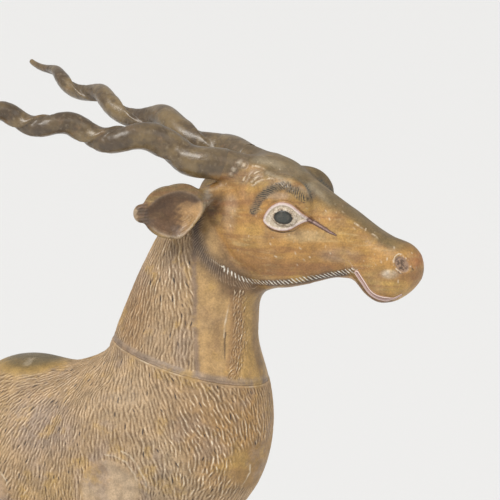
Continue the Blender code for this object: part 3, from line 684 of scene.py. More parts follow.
def limb_placings(form, hand):
    """Placings of unit balls strung along a limb."""
    count = 2 + int(math.dist(form.start, form.end) / 7)
    for share in np.linspace(0, 1, count):
        x, z = (form.start[k] + share * (form.end[k] - form.start[k]) for k in (0, 1))
        side, radius = (pair[0] + share * (pair[1] - pair[0]) for pair in (form.side, form.radii))
        size = Matrix.Diagonal((radius, radius * form.width, radius, 1))
        yield Matrix.Translation((x, hand * side, z)) @ size


def section_placings(sections, along, length):
    """Placings of unit balls that fill a body with rounded sections."""
    table = np.array(sections, float)
    for place in np.arange(table[0, 0] + 6, table[-1, 0] - 4, length / 3):
        here = np.array([place])
        low, high, wide = (curve_through(table[:, 0], table[:, k], here)[0] for k in (1, 2, 3))
        middle, half = (low + high) / 2, (high - low) / 2
        if along:
            yield Matrix.Translation((middle, 0, place)) @ Matrix.Diagonal((half, wide, length / 2, 1))
        else:
            yield Matrix.Translation((place, 0, middle)) @ Matrix.Diagonal((length / 2, wide, half, 1))


def ear_shell(hand):
    """Placing of a unit ball as the thin back of an ear."""
    mirror = Matrix.Diagonal((1, hand, 1, 1))
    across = EAR_FACING.cross(EAR_TIPWARD).normalized()
    facing = EAR_TIPWARD.cross(across)
    turn = Matrix((EAR_TIPWARD, across, facing)).transposed().to_4x4()
    size = Matrix.Diagonal((0.98 * EAR_RADII[0], 0.95 * EAR_RADII[1], 6.0, 1))
    return mirror @ Matrix.Translation(EAR_MIDDLE - 7.0 * facing) @ turn @ size


def blank_placings():
    """Placings of unit balls that fill the whole animal roughly."""
    for sections, along, length in ((TRUNK, 0, 36), (NECK, 2, 27), (HEAD, 0, 15)):
        yield from section_placings(sections, along, length)
    seat, heading = horn_seat()
    end = seat + PEDICLE_REACH * heading
    stub = Limb(PEDICLE_FOOT[:2], (end[0], end[2]), PEDICLE_RADII, (PEDICLE_FOOT[2], end[1]))
    for form in (*BODY_FORMS, MUZZLE, EYE_SOCKET, EAR_STEM, stub):
        for hand in (-1, 1):
            if isinstance(form, Mass):
                yield mass_placing(form, hand)
            else:
                yield from limb_placings(form, hand)
    for hand in (-1, 1):
        yield ear_shell(hand)


def balls_at(places):
    """One mesh with a ball at each placing."""
    bm = bmesh.new()
    bmesh.ops.create_uvsphere(bm, u_segments=16, v_segments=10, radius=1)
    unit = np.array([(*vert.co, 1) for vert in bm.verts])
    faces = [[vert.index for vert in face.verts] for face in bm.faces]
    bm.free()
    points = np.concatenate([(unit @ np.array(place).T)[:, :3] for place in places])
    copies = [
        [index + copy * len(unit) for index in face] for copy in range(len(places)) for face in faces
    ]
    mesh = bpy.data.meshes.new("blank")
    mesh.from_pydata(points, [], copies)
    return mesh


def in_world(points):
    """Figure parts to metres, with the soles a joint's gap above the plinth."""
    placed = np.array(points, float) - (STANCE_MIDDLE, 0, SOLES)
    return placed * PART + (0, 0, PLINTH_HEIGHT + JOINT_GAP)


def vectors(items, name):
    """The three numbers that each of a mesh's items carries under a name."""
    flat = np.empty(len(items) * 3)
    items.foreach_get(name, flat)
    return flat.reshape(-1, 3)


def mesh_points(mesh):
    return vectors(mesh.vertices, "co")


def mesh_normals(mesh):
    return vectors(mesh.vertex_normals, "vector")


def set_points(mesh, points):
    mesh.vertices.foreach_set("co", points.ravel())
    mesh.update()


def applied(blank, **settings):
    """The blank's mesh after one modifier."""
    kind = settings.pop("kind")
    modifier = blank.modifiers.new(kind.title(), kind)
    for name, value in settings.items():
        setattr(modifier, name, value)
    graph = bpy.context.evaluated_depsgraph_get()
    mesh = bpy.data.meshes.new_from_object(blank.evaluated_get(graph))
    blank.modifiers.remove(modifier)
    old = blank.data
    blank.data = mesh
    bpy.data.meshes.remove(old)
    return mesh


def press_roughly(mesh, steps):
    """Moves each vertex along the form's slope until it lies on the surface."""
    points = mesh_points(mesh)
    probe = 0.3
    for _ in range(steps):
        value = figure(points)
        rises = [figure(points + shift) - value for shift in probe * np.eye(3)]
        slope = np.stack(rises, axis=1) / probe
        length = np.maximum(np.linalg.norm(slope, axis=1), 0.3)
        move = np.clip(value / length, -4.0, 4.0)
        points -= slope / length[:, None] * move[:, None]
    set_points(mesh, points)


def press_finely(mesh, steps):
    """Moves each vertex along the surface's own normal onto the form."""
    for _ in range(steps):
        points = mesh_points(mesh)
        move = np.clip(figure(points), -1.5, 1.5)
        set_points(mesh, points - mesh_normals(mesh) * move[:, None])


def carved_figure():
    """An object with the animal's fine surface, in figure parts."""
    blank = bpy.data.objects.new("blank", balls_at(list(blank_placings())))
    bpy.context.scene.collection.objects.link(blank)
    mesh = applied(blank, kind="REMESH", mode="VOXEL", voxel_size=BLANK_GRAIN)
    press_roughly(mesh, 8)
    mesh = applied(blank, kind="REMESH", mode="VOXEL", voxel_size=max(MIDDLE_GRAIN, FINE_GRAIN))
    press_finely(mesh, 5)
    mesh = applied(blank, kind="REMESH", mode="VOXEL", voxel_size=FINE_GRAIN)
    press_finely(mesh, 4)
    return blank


@contextlib.contextmanager
def opened(mesh):
    """The mesh open for work on its faces, written back at the end."""
    bm = bmesh.new()
    bm.from_mesh(mesh)
    yield bm
    bm.to_mesh(mesh)
    bm.free()


def cut_flat(mesh, point, normal):
    """Keeps what lies behind the plane and closes the cut with flat faces."""
    with opened(mesh) as bm:
        bmesh.ops.bisect_plane(
            bm,
            geom=bm.verts[:] + bm.edges[:] + bm.faces[:],
            plane_co=point,
            plane_no=normal,
            clear_outer=True,
            dist=1e-5,
        )
        rims = [edge for edge in bm.edges if edge.is_boundary]
        bmesh.ops.holes_fill(bm, edges=rims, sides=0)
        bmesh.ops.recalc_face_normals(bm, faces=bm.faces)


def subdivided(mesh, wanted):
    """Splits the faces whose middle is wanted into four."""
    with opened(mesh) as bm:
        chosen = wanted(np.array([face.calc_center_median() for face in bm.faces]))
        bm.faces.index_update()
        edges = [edge for edge in bm.edges if any(chosen[face.index] for face in edge.link_faces)]
        bmesh.ops.subdivide_edges(bm, edges=edges, cuts=1, use_grid_fill=True)


def shown(middles):
    """Which places the photograph shows: the fore part of the right side and the top of the head."""
    x, y, z = middles.T
    side = (x > 30) & (z > 475) & (y < 8 + 0.28 * np.maximum(x - 160, 0))
    return side | ((x > 285) & (z > 795))


def detailed(middles):
    """Which places carry the finest lines."""
    x, y, z = middles.T
    wanted = np.zeros(len(x), bool)
    for low_x, high_x, low_z, high_z in DETAIL_BOXES:
        wanted |= (x > low_x) & (x < high_x) & (z > low_z) & (z < high_z)
    return wanted & (y < -6)


def headness(points):
    """1 on the head and ears, 0 on the neck."""
    skull = skull_distance(points)
    on_ear = ear(points)
    return np.clip(1 - np.minimum(skull, on_ear) / 5, 0, 1) * (points[:, 2] > 700)


def panel_edge(z):
    """x of the rear edge of the smooth panel on the neck at a height."""
    table = np.array(PANEL_REAR[::-1], float)
    return np.interp(z, table[:, 1], table[:, 0])


def on_strip(points):
    """1 on the strip of short strokes at the front of the neck."""
    x, y, z = points[:, 0], np.abs(points[:, 1]), points[:, 2]
    within = smooth(322, 324, x) * smooth(336, 333, x) * smooth(724, 720, z)
    return within * (seam_height(points) > 6) * (y > 9)


def flow(points):
    """Direction in which the fur lies, not yet laid onto the surface."""
    x, y, z = points[:, 0], points[:, 1], points[:, 2]
    fan = np.stack([x - 165, 0.35 * y, z - 792 - 44 * np.tanh((x - 165) / 60)], axis=1)
    fan /= np.linalg.norm(fan, axis=1)[:, None]
    top = (0.8 * smooth(572, 612, z) * smooth(165, 70, x))[:, None]
    fan = fan * (1 - top) + np.array((-0.86, 0, -0.5)) * top
    tucked = (smooth(565, 490, z) * smooth(235, 300, x))[:, None]
    fan = fan * (1 - tucked) + np.array((-0.42, 0, -0.9)) * tucked
    hind = smooth(60, -100, x)[:, None]
    body = fan * (1 - hind) + np.array((-0.88, 0, -0.48)) * hind
    leg = smooth(440, 380, z)[:, None]
    body = body * (1 - leg) + np.array((0, 0, -1.0)) * leg
    tail = ((x < -262) & (z < 600))[:, None]
    body = np.where(tail, np.array((-0.15, 0, -1.0)), body)
    table = np.array(NECK, float)
    rear = np.interp(z, table[:, 0], table[:, 1])
    forward = np.clip((x - rear) / (panel_edge(z) - rear), 0, 1)
    slant = -0.34 + (0.42 + 0.34 * smooth(655, 725, z)) * forward
    neck = np.stack([slant, 0.10 * np.sign(y), np.full(len(x), -1.0)], axis=1)
    strip = on_strip(points)[:, None]
    neck = neck * (1 - strip) + np.array((-0.62, 0, -0.78)) * strip
    above = np.clip(seam_height(points) / 4 + 0.5, 0, 1)[:, None]
    return body * (1 - above) + neck * above


def fur(points):
    """How much fur is carved at each point, from 0 where the wood is smooth to 1."""
    x, y, z = points[:, 0], np.abs(points[:, 1]), points[:, 2]
    seam = seam_height(points)
    body = smooth(-1.2, -3.2, seam)
    body *= np.where(z > 596, smooth(0.85, 1.05, from_hump(x, y)), 1)
    body *= np.where(y > FLAT_SIDE, smooth(1.0, 1.12, from_disc(x, z, SHOULDER_DISC)), 1)
    body *= np.where(y > FLAT_SIDE, smooth(0.95, 1.05, from_disc(x, z, FLANK_DISC)), 1)
    body *= np.where(x > 300, 0.30 + 0.70 * smooth(0.7, 1.1, oval(x, z, *CHEST_PATCH)), 1)
    body *= smooth(320, 380, z)
    neck = smooth(2, 6, panel_edge(z) - x) * smooth(5, 8, seam) * (1 - headness(points))
    neck = np.maximum(neck, on_strip(points))
    return np.where(seam > 0, neck, body)


class Cells:
    """Points sorted into cubes, so that those near a place are found fast."""

    def __init__(self, points, size):
        self.points = points
        self.size = size
        cubes = np.floor(points / size).astype(int)
        self.low = cubes.min(0) - 2
        self.span = cubes.max(0) - self.low + 3
        flat = np.ravel_multi_index((cubes - self.low).T, self.span)
        self.order = np.argsort(flat, kind="stable")
        self.flat = flat[self.order]

    def near(self, place, radius):
        """Numbers of the points within a radius of the place, no more than two cubes away."""
        first = np.maximum(np.floor((place - radius) / self.size).astype(int) - self.low, 0)
        last = np.floor((place + radius) / self.size).astype(int) - self.low
        starts = [
            (i * self.span[1] + j) * self.span[2]
            for i in range(first[0], last[0] + 1)
            for j in range(first[1], last[1] + 1)
        ]
        begins = np.searchsorted(self.flat, [start + first[2] for start in starts], "left")
        ends = np.searchsorted(self.flat, [start + last[2] for start in starts], "right")
        found = np.concatenate([self.order[a:b] for a, b in zip(begins, ends)])
        gaps = self.points[found] - place
        return found[(gaps * gaps).sum(1) < radius * radius]


def spread_places(points, headings, chance, cuts, scale, rng):
    """Chosen point numbers, none nearer another than the spacing across and along the flow."""
    wanted = np.flatnonzero(rng.random(len(points)) < chance)
    order = rng.permutation(wanted)
    taken = {}
    chosen = []
    cells = np.floor(points[order] / cuts.along).astype(int)
    for number, (i, j, k) in zip(order, cells.tolist()):
        px, py, pz = points[number].tolist()
        dx, dy, dz = headings[number].tolist()
        along2 = (cuts.along * scale[number]) ** 2
        across2 = (cuts.across * scale[number]) ** 2
        free = True
        for cell in NEIGHBOURS:
            for qx, qy, qz in taken.get((i + cell[0], j + cell[1], k + cell[2]), ()):
                gx, gy, gz = px - qx, py - qy, pz - qz
                run = gx * dx + gy * dy + gz * dz
                run *= run
                if run / along2 + (gx * gx + gy * gy + gz * gz - run) / across2 < 1:
                    free = False
                    break
            if not free:
                break
        if free:
            taken.setdefault((i, j, k), []).append((px, py, pz))
            chosen.append(number)
    return chosen


def lay_strokes(cells, normals, headings, chosen, cuts, scale, rng, grooved):
    """What the strokes of one kind leave at each point: crests, with grooves beside them if grooved."""
    points = cells.points
    laid = np.zeros(len(points))
    for number in chosen:
        normal = normals[number]
        side = np.cross(normal, headings[number])
        turn = rng.normal(0, 0.09)
        heading = headings[number] * math.cos(turn) + side * math.sin(turn)
        side = np.cross(normal, heading)
        length = cuts.length * scale[number] * rng.uniform(0.7, 1.3)
        width = cuts.width * (0.3 + 0.7 * scale[number]) * rng.uniform(0.85, 1.15)
        bend = rng.normal(0, 0.013)
        sway = rng.normal(0, 0.45)
        strength = rng.uniform(0.50, 1.25) if grooved else rng.uniform(0.35, 1.0)
        near = cells.near(points[number], length * 0.56)
        offset = points[near] - points[number]
        run = offset @ heading
        aside = (offset @ side - bend * run**2 - sway * np.sin(2 * math.pi * run / length)) / width
        value = strength * np.clip(1 - (2 * run / length) ** 2, 0, 1) * np.exp(-(aside**2) / 2)
        value *= (np.abs(offset @ normal) < 7) * (normals[near] @ normal > 0.2)
        if grooved:
            laid[near] += value * (1 - aside**2)
        else:
            laid[near] = np.maximum(laid[near], value)
    return laid


def keep(mesh, **rows):
    """Stores numbers for each vertex under names that the materials read."""
    for name, values in rows.items():
        attribute = mesh.attributes.new(name, "FLOAT", "POINT")
        attribute.data.foreach_set("value", values.astype(np.float32))


def keep_paint(mesh, colours):
    """Stores the paint of each vertex."""
    attribute = mesh.attributes.new("paint", "FLOAT_COLOR", "POINT")
    flat = np.ones((len(colours), 4), np.float32)
    flat[:, :3] = colours
    attribute.data.foreach_set("color", flat.ravel())


def keep_row(mesh, name, points, line, on):
    """Stores where each vertex lies along a row of hatching and beside it."""
    arc = np.zeros(len(points))
    beside = np.full(len(points), FAR)
    near = close_to(points, line, 24, on)
    arc[near], beside[near] = along_line(points[near], line)
    keep(mesh, **{name + "_arc": arc, name + "_beside": beside})
    return beside


def close_to(points, line, margin, on=None):
    """Numbers of the points in the box round a line seen from the side, where on is above nothing."""
    table = np.array(line, float)
    seen = points[:, (0, 2)]
    near = np.flatnonzero(((seen > table.min(0) - margin) & (seen < table.max(0) + margin)).all(1))
    return near if on is None else near[on[near] > 0]


def traced(points, lines):
    """How far thin lines cover each point, and how far they stand out there."""
    cover = np.zeros(len(points))
    height = np.zeros(len(points))
    for line in lines:
        near = close_to(points, line.points, 5)
        if not len(near):
            continue
        arc, offset = along_line(points[near], line.points)
        faded = smooth(0, 3, arc) * (1 - 0.7 * smooth(0.4, 1.0, arc / max(arc.max(), 1)))
        value = faded * bell(offset, 0, line.width)
        cover[near] = np.maximum(cover[near], value)
        height[near] = np.maximum(height[near], line.height * value)
    return cover, height


def blended(base, colour, share):
    """The base colours with another laid over by its share."""
    share = np.clip(share, 0, 1)[:, None]
    return base * (1 - share) + np.array(colour) * share


def layered(paint, layers):
    """The paint with colours laid over it in turn, each by its share."""
    for colour, share in layers:
        paint = blended(paint, colour, share)
    return paint


def patched(paint, points, patches, share):
    """The paint with soft patches of colour laid over it."""
    for patch in patches:
        gap = oval(points[:, 0], points[:, 2], patch.place, patch.radii)
        paint = blended(paint, patch.colour, patch.share * share * smooth(1.25, 0.35, gap))
    return paint


def smooth(low, high, value):
    """0 before low, 1 past high and a smooth rise between, also downwards."""
    t = np.clip((value - low) / (high - low), 0, 1)
    return t * t * (3 - 2 * t)


def bell(value, middle, width):
    """1 at the middle, falling off softly over the width on both sides."""
    return np.exp(-(((value - middle) / width) ** 2))


def oval(x, z, middle, radii):
    """Distance from the middle of an oval seen from the side, 1 on its edge."""
    return np.hypot((x - middle[0]) / radii[0], (z - middle[1]) / radii[1])


def from_disc(x, z, disc):
    """Distance from the middle of a disc seen from the side, 1 on its edge."""
    return np.hypot(x - disc[0], z - disc[1]) / disc[2]


def from_hump(x, y):
    """Distance from the middle of the smooth withers seen from above, 1 on its edge."""
    return np.sqrt(((x - HUMP[0]) / HUMP[1]) ** 2 + (y / HUMP[2]) ** 2)


def ripple(points, size):
    """A soft uneven wave between -1 and 1, with waves of about the given size."""
    x, y, z = (points * (2 * math.pi / size)).T
    first = np.sin(x + np.sin(1.7 * z))
    second = np.sin(1.3 * z + 1.9 * np.sin(0.6 * y))
    return (first + second + np.sin(0.8 * x - 1.1 * z + y)) / 3


def laid_headings(points, normals):
    """The fur's direction laid onto the surface."""
    headings = flow(points)
    headings -= (headings * normals).sum(1)[:, None] * normals
    return headings / np.maximum(np.linalg.norm(headings, axis=1), 1e-6)[:, None]


def carve_fur(mesh, rng):
    """Carves the fur into a mesh and returns its points and normals before that."""
    points = mesh_points(mesh)
    normals = mesh_normals(mesh)
    headings = laid_headings(points, normals)
    amount = fur(points)
    hidden = smooth(0, 24, points[:, 1] - 0.35 * np.maximum(points[:, 0] - 160, 0))
    hidden = np.maximum(hidden, smooth(35, 5, points[:, 0]))
    scale = 1 - 0.42 * on_strip(points) - 0.14 * smooth(200, 130, points[:, 0]) * (points[:, 2] < 700)
    scale = scale * (1 - hidden) + 1.45 * hidden
    cells = Cells(points, CELL)
    share = 0.27 if FINE_GRAIN < 3 else 0.6
    chosen = spread_places(points, headings, share * (amount > 0.4), RIDGES, scale, rng)
    ridges = lay_strokes(cells, normals, headings, chosen, RIDGES, scale, rng, True)
    ridges = np.tanh(1.3 * ridges) * amount
    dark = share * (0.03 + 0.15 * smooth(190, 60, points[:, 0])) * (amount > 0.6) * (ridges < -0.2)
    chosen = spread_places(points, headings, dark, NICKS, scale, rng)
    nicks = lay_strokes(cells, normals, headings, chosen, NICKS, scale, rng, False)
    height = 0.5 * ridges - 0.5 * amount - 0.7 * nicks * amount
    set_points(mesh, points + normals * height[:, None])
    return points, normals, ridges, nicks


def paint_body(mesh, points, normals, ridges, nicks):
    """Paint of the body: tan and ochre fur, olive hump, pale discs, dark hooves."""
    x, y, z = points[:, 0], np.abs(points[:, 1]), points[:, 2]
    flat = y > FLAT_SIDE
    hump = from_hump(x, y)
    glossy = smooth(1.1, 0.75, hump) * smooth(588, 600, z)
    # Painted highlight: a small cream spot on the glossy hump
    hump_highlight = oval(x, z, (66, 621), (6, 4.5)) + 0.25 * ripple(points, 7)
    disc = from_disc(x, z, SHOULDER_DISC)
    flank = from_disc(x, z, FLANK_DISC)
    breast = smooth(352, 344, x) * smooth(330, 342, x) * smooth(520, 580, z)
    paint = patched(np.tile(np.array(FUR_TAN), (len(x), 1)), points, BODY_PATCHES, 1.0)
    layers = (
        (HUMP_OLIVE, 0.92 * glossy),
        (GOLD, 0.55 * bell(hump, 0.86, 0.16) * smooth(588, 598, z)),
        (CREAM, 0.35 * smooth(1.0, 0.3, hump_highlight)),
        (DISC_TAN, 0.7 * smooth(1.15, 0.85, disc) * flat),
        (LILAC, 0.5 * bell(disc, 1.25, 0.14) * flat),
        (FLANK_TAN, 0.6 * smooth(1.1, 0.8, flank) * flat),
        (CHEST_BROWN, 0.85 * smooth(1.15, 0.6, oval(x, z, *CHEST_PATCH)) * (x > 300)),
        (OCHRE, 0.5 * breast),
        (BROWN, 0.75 * smooth(120, 66, z)),
        (HOOF, smooth(72, 62, z)),
    )
    keep_paint(mesh, layered(paint, layers))
    pale, height = traced(points, [line for line in PALE_LINES if line.points[0][1] < 560])
    side = (y > 20) * (x > -20)
    edge = bell(seam_height(points), -0.9, 0.9) * (z > 560) * (0.50 + 0.55 * ripple(points, 37))
    set_points(mesh, mesh_points(mesh) + normals * (height * side)[:, None])
    # Where painted glints lie: on the crests of the chest, and fainter behind the shoulder
    chest = smooth(1.3, 0.4, oval(x, z, (300, 550), (60, 68)))
    rear = 0.35 * smooth(210, 150, x) * (0.5 + 0.5 * ripple(points, 60))
    keep(
        mesh,
        ridge=ridges,
        nick=nicks,
        stain=glossy,
        pale=np.maximum(pale * side * 0.85, edge),
        bright=np.maximum(chest, rear),
        gloss=np.maximum(glossy, 0.4 * smooth(1.1, 0.8, disc) * flat),
    )


def carve_head(mesh, points, normals, ridges, nicks, rng):
    """Carves the lines of the head and neck and paints them."""
    x, y, z = points[:, 0], np.abs(points[:, 1]), points[:, 2]
    head = headness(points)
    face = smooth(6, 14, y) * (x > 290) * head

    eye = np.full(len(points), FAR)
    near = close_to(points, EYE_UPPER, 22, face)
    eye[near] = almond(points[near])
    rim = smooth(0.5, -0.5, eye) * smooth(-3.8, -2.6, eye)
    iris = np.where(face > 0, oval(x, z, IRIS_MIDDLE, IRIS_RADII), 9)
    height = 1.2 * rim - 0.8 * bell(eye, 1.8, 1.0) - 0.6 * bell(iris, 1.0, 0.12)

    tear = np.full(len(points), FAR)
    near = close_to(points, TEAR, 14, face)
    arc, offset = along_line(points[near], TEAR)
    tear[near] = np.abs(offset) / (1.3 - 0.85 * (arc / arc.max()) ** 3)
    height += 0.8 * bell(tear, 0, 1) - 0.6 * bell(tear, 1.9, 0.6)

    lips = np.full(len(points), FAR)
    near = close_to(points, LIPS, 14, head * y - 1)
    _, lips[near] = along_line(points[near], LIPS)
    lips = np.where(x > 510, FAR, lips * (1 + 3 * smooth(493, 509, x)))
    from_lips = np.abs(lips)
    height += 0.9 * bell(from_lips, 1.9, 0.9) - 1.2 * bell(lips, 0, 0.8) - 0.5 * bell(from_lips, 4.2, 1.0)

    lean = math.radians(NOSTRIL_LEAN)
    gap_x, gap_z = x - NOSTRIL_MIDDLE[0], z - NOSTRIL_MIDDLE[1]
    down = gap_x * math.cos(lean) - gap_z * math.sin(lean)
    beside = gap_x * math.sin(lean) + gap_z * math.cos(lean)
    nostril = np.hypot(down / NOSTRIL_RADII[0], beside / NOSTRIL_RADII[1])
    nostril = np.where((face > 0) & (x > 480), nostril, 9)
    height += 0.8 * bell(nostril, 1.0, 0.14) - 1.6 * smooth(0.95, 0.6, nostril)
    height += 1.0 * smooth(0.75, 0.45, nostril) * bell(beside, -1.0, 1.8)

    pale, raised = traced(points, [line for line in PALE_LINES if line.points[0][1] > 600])
    dark, sunk = traced(points, DARK_LINES)
    side = smooth(0.15, 0.35, np.abs(normals[:, 1])) * (y > 8)
    _, rear = along_line(points, PANEL_REAR)
    neck = (1 - head) * (seam_height(points) > 5) * (y > 20) * (x > 260)
    height += (raised - sunk) * side - 0.8 * neck * bell(rear, 2, 3.0)

    bristle = keep_row(mesh, "bristle", points, BRISTLES, (y > 7) * np.maximum(head, x > 300))
    lash = keep_row(mesh, "lash", points, LASHES, face)
    band = keep_row(mesh, "band", points, JAW_BAND, (y > 12) * 1.0)
    height += 0.3 * ripple(points, 5) * (bell(bristle, 0, 4.0) + bell(lash, 0, 4.0))
    # The lumps on the knob carry painted highlights, the rings round them painted shade
    knob = (y > 26) * head
    lumps = np.zeros(len(points))
    curls = np.zeros(len(points))
    for lump in KNOB_LUMPS:
        gap = from_disc(x, z, lump) + 0.2 * ripple(points, 6)
        lumps = np.maximum(lumps, bell(gap, 0, 1) * knob)
        curls = np.maximum(curls, bell(gap, 1.35, 0.3) * knob)
    height += 1.3 * lumps - 0.5 * curls

    chance = np.full(len(points), 0.02)
    for place, radii, share in FLECK_PLACES:
        chance = np.maximum(chance, share * smooth(1.2, 0.6, oval(x, z, place, radii)))
    headings = laid_headings(points, normals)
    ones = np.ones(len(points))
    chosen = spread_places(points, headings, 0.055 * chance * (face > 0.5), FLECKS, ones, rng)
    flecks = lay_strokes(Cells(points, CELL), normals, headings, chosen, FLECKS, ones, rng, False)
    flecks *= (eye > 3) & (nostril > 1.5)
    height += 0.3 * flecks
    set_points(mesh, mesh_points(mesh) + normals * height[:, None])

    tipward, across, outward = ear_axes(points)
    on_ear = smooth(4.0, 1.0, ear(points)) * smooth(-48, -41, tipward + 2 * ripple(points, 9)) * (y > 40)
    inside = on_ear * smooth(3.0, 0.8, bowl(points))
    low = smooth(12, 3, across + 3 * ripple(points, 15)) * (0.6 + 0.4 * smooth(-20, -2, across))
    copper = inside * smooth(-3, -17, tipward + 4 * ripple(points, 9)) * low
    curled = on_ear * smooth(21, 27, tipward)
    pleats = 0.5 + 0.5 * np.sin(across * (2 * math.pi / 3.4))
    tip = on_ear * smooth(34.5, 37.5, tipward + 1.5 * ripple(points, 7))
    rim_light = on_ear * bell(bowl(points), 1.4, 0.8) * (outward > -1) * smooth(24, 18, tipward)

    inset = x - panel_edge(z) + 0.8 * ripple(points, 17)
    panel = (1 - head) * smooth(-1, 2.5, inset)
    smear = bell(x, 309, 4.5) * smooth(640, 655, z) * smooth(700, 685, z)
    # Painted shadow on the top of the throat, beneath the jaw
    under_jaw_shade = (1 - head) * smooth(707, 722, z + 2 * ripple(points, 11)) * smooth(302, 320, x)
    seam = seam_height(points) + 0.7 * ripple(points, 13)

    _, above = along_line(points, CREST)
    top = head * smooth(-3, 9, above) * (x > 300)
    top = np.maximum(top, head * smooth(0.45, 0.75, normals[:, 2]) * smooth(300, 330, x))
    inward = smooth(0.25, -0.15, normals[:, 1] * np.sign(points[:, 1])) * (y > 14)
    inner = head * inward * smooth(822, 832, z)
    # Painted shade: the brow on the far, left side is darker, as on a side turned from the light
    shaded_far_brow = head * smooth(10, 18, points[:, 1]) * smooth(812, 824, z) * smooth(370, 384, x)
    # Painted highlight streaks on the forehead
    forehead_sheen, _ = traced(points, FOREHEAD_HIGHLIGHTS)
    root_edge = z + 0.25 * (325 - x) + 3 * ripple(points, 19)
    root = head * smooth(352, 330, x - 0.4 * (z - 850)) * smooth(846, 855, root_edge)

    neck_layers = (
        (BORDER, 0.75 * (1 - head) * bell(inset, -2.6, 3.0) * (y > 15)),
        (PANEL_TAN, 0.95 * panel),
        (STRIP_BROWN, 0.85 * panel * smooth(318, 322, x)),
        (NECK_GOLD, 0.85 * panel * smooth(329, 334, x)),
        (BROWN, 0.55 * panel * smooth(14, 4, y)),
        (SMEAR_BROWN, 0.6 * panel * smear),
        (OCHRE, head),
    )
    head_layers = (
        (OLIVE, 0.95 * top * smooth(528, 495, x)),
        (OLIVE, 0.9 * inner),
        (FAR_BROW_SHADE, 0.75 * shaded_far_brow),
        (FOREHEAD_SHEEN, 0.6 * forehead_sheen * head * (points[:, 1] < 8)),
        (HORN_BROWN, 0.95 * root),
        # Painted shade in the rings round the knob's lumps, then painted highlight on the lumps
        (BROWN, 0.5 * curls),
        (KNOB_HIGHLIGHT, 0.65 * lumps),
        # Painted shade behind and under the jaw, along the jaw band
        (JAW_SHADE, 0.92 * bell(band, 0, 10.0) * smooth(6, 14, y)),
        (SHADOW, 0.92 * np.exp(-(((bristle + 0.8) / 4.6) ** 4))),
        (LASH_WASH, 0.75 * np.exp(-(((lash + ripple(points, 9)) / 5.4) ** 4))),
        (BROWN, 0.85 * bell(lips, -5.6, 2.4)),
        (THROAT_SHADE, 0.8 * under_jaw_shade),
        (OLIVE, 0.8 * on_ear * (1 - inside)),
        (STEM_GREY, 0.7 * on_ear * smooth(-34, -42, tipward)),
        (EAR_BROWN, 0.95 * inside),
        (COPPER, 0.72 * copper),
        (EAR_RUST, 0.5 * inside * smooth(2, 12, tipward) * smooth(2, -10, across)),
        (SHADOW, 0.85 * curled),
        (LILAC, 0.35 * curled * pleats),
        (EAR_TIP, 0.8 * tip),
        (CREAM, rim_light * (0.15 + 0.25 * smooth(4, -8, across))),
        (SEAM_GREY, 0.7 * smooth(9.5, 5.0, seam)),
        (SEAM_DARK, 0.55 * bell(seam, 2.4, 0.9)),
        (BROWN, 0.5 * smooth(1.2, 0.3, seam)),
    )
    paint = patched(np.tile(np.array(FUR_TAN), (len(x), 1)), points, NECK_PATCHES, 1 - head)
    paint = patched(layered(paint, neck_layers), points, HEAD_PATCHES, head)
    keep_paint(mesh, layered(paint, head_layers))
    # Where painted glints lie: on the crests of the upper neck and on the strip
    bright = smooth(1.2, 0.4, oval(x, z, (258, 735), (38, 44))) * (1 - head)
    keep(
        mesh,
        ridge=ridges,
        nick=nicks,
        pale=np.maximum(pale * side, flecks),
        dark=dark * side,
        bright=np.maximum(bright, on_strip(points)),
        stain=np.clip(top + root + inside + inner + shaded_far_brow, 0, 1),
        gloss=0.6 * head + 0.5 * panel + 0.2 * inside,
        iris=iris,
        eye=eye,
        tear=tear,
        lips=lips,
        nostril=nostril,
        face=head,
    )


def piece(name, mesh, material, node, keep_faces=None):
    """A piece in the scene from a mesh in figure parts, or from some of its faces."""
    if keep_faces is not None:
        mesh = mesh.copy()
        with opened(mesh) as bm:
            spare = [face for face, keep_it in zip(bm.faces, keep_faces) if not keep_it]
            bmesh.ops.delete(bm, geom=spare, context="FACES")
    set_points(mesh, in_world(mesh_points(mesh)))
    mesh.shade_smooth()
    mesh.set_sharp_from_angle(angle=math.radians(70))
    mesh.materials.clear()
    mesh.materials.append(material)
    made = bpy.data.objects.new(name, mesh)
    bpy.context.scene.collection.objects.link(made)
    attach(made, "root")
    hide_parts(node)


def side_axes(ahead):
    """Directions sideways and upward, square to a line's own."""
    sideways = np.cross(ahead, (0, 0, 1))
    sideways /= np.linalg.norm(sideways, axis=1)[:, None]
    return sideways, np.cross(sideways, ahead)


def horn_line(hand, count):
    """Middle line of a horn from root to tip, on the left side, its radius and its corkscrew's turn."""
    root = -(HORN_ROOT + 3) / HORN_LENGTH
    shares = np.linspace(root, 1, count)
    fine = np.linspace(0, 1, 800)
    travelled = np.cumsum(horn_headings(fine), axis=0) * HORN_LENGTH / len(fine)
    travelled -= travelled[0]
    axis = np.stack([np.interp(shares, fine, travelled[:, k]) for k in range(3)], axis=1)
    t = np.clip(shares, 0, 1)
    ahead = horn_headings(t)
    axis += np.minimum(shares, 0)[:, None] * HORN_LENGTH * ahead
    sideways, upward = side_axes(ahead)
    swing_base, swing_tip, turns, start, tightening = CORKSCREWS[hand]
    swing = (swing_base + (swing_tip - swing_base) * t) * np.minimum(1, t / SWING_START)
    angle = 2 * math.pi * turns * (t + tightening * t**2) / (1 + tightening) + start
    coil = np.cos(angle)[:, None] * upward + np.sin(angle)[:, None] * sideways
    line = np.array(HORN_BASE) + axis + swing[:, None] * coil
    settle = 1 - np.clip(shares / DROP_END, 0, 1)
    line[:, 2] -= HORN_ROOT_DROP * settle**2 * (3 - 2 * settle)
    return line, np.interp(shares, *zip(*HORN_RADII)), angle


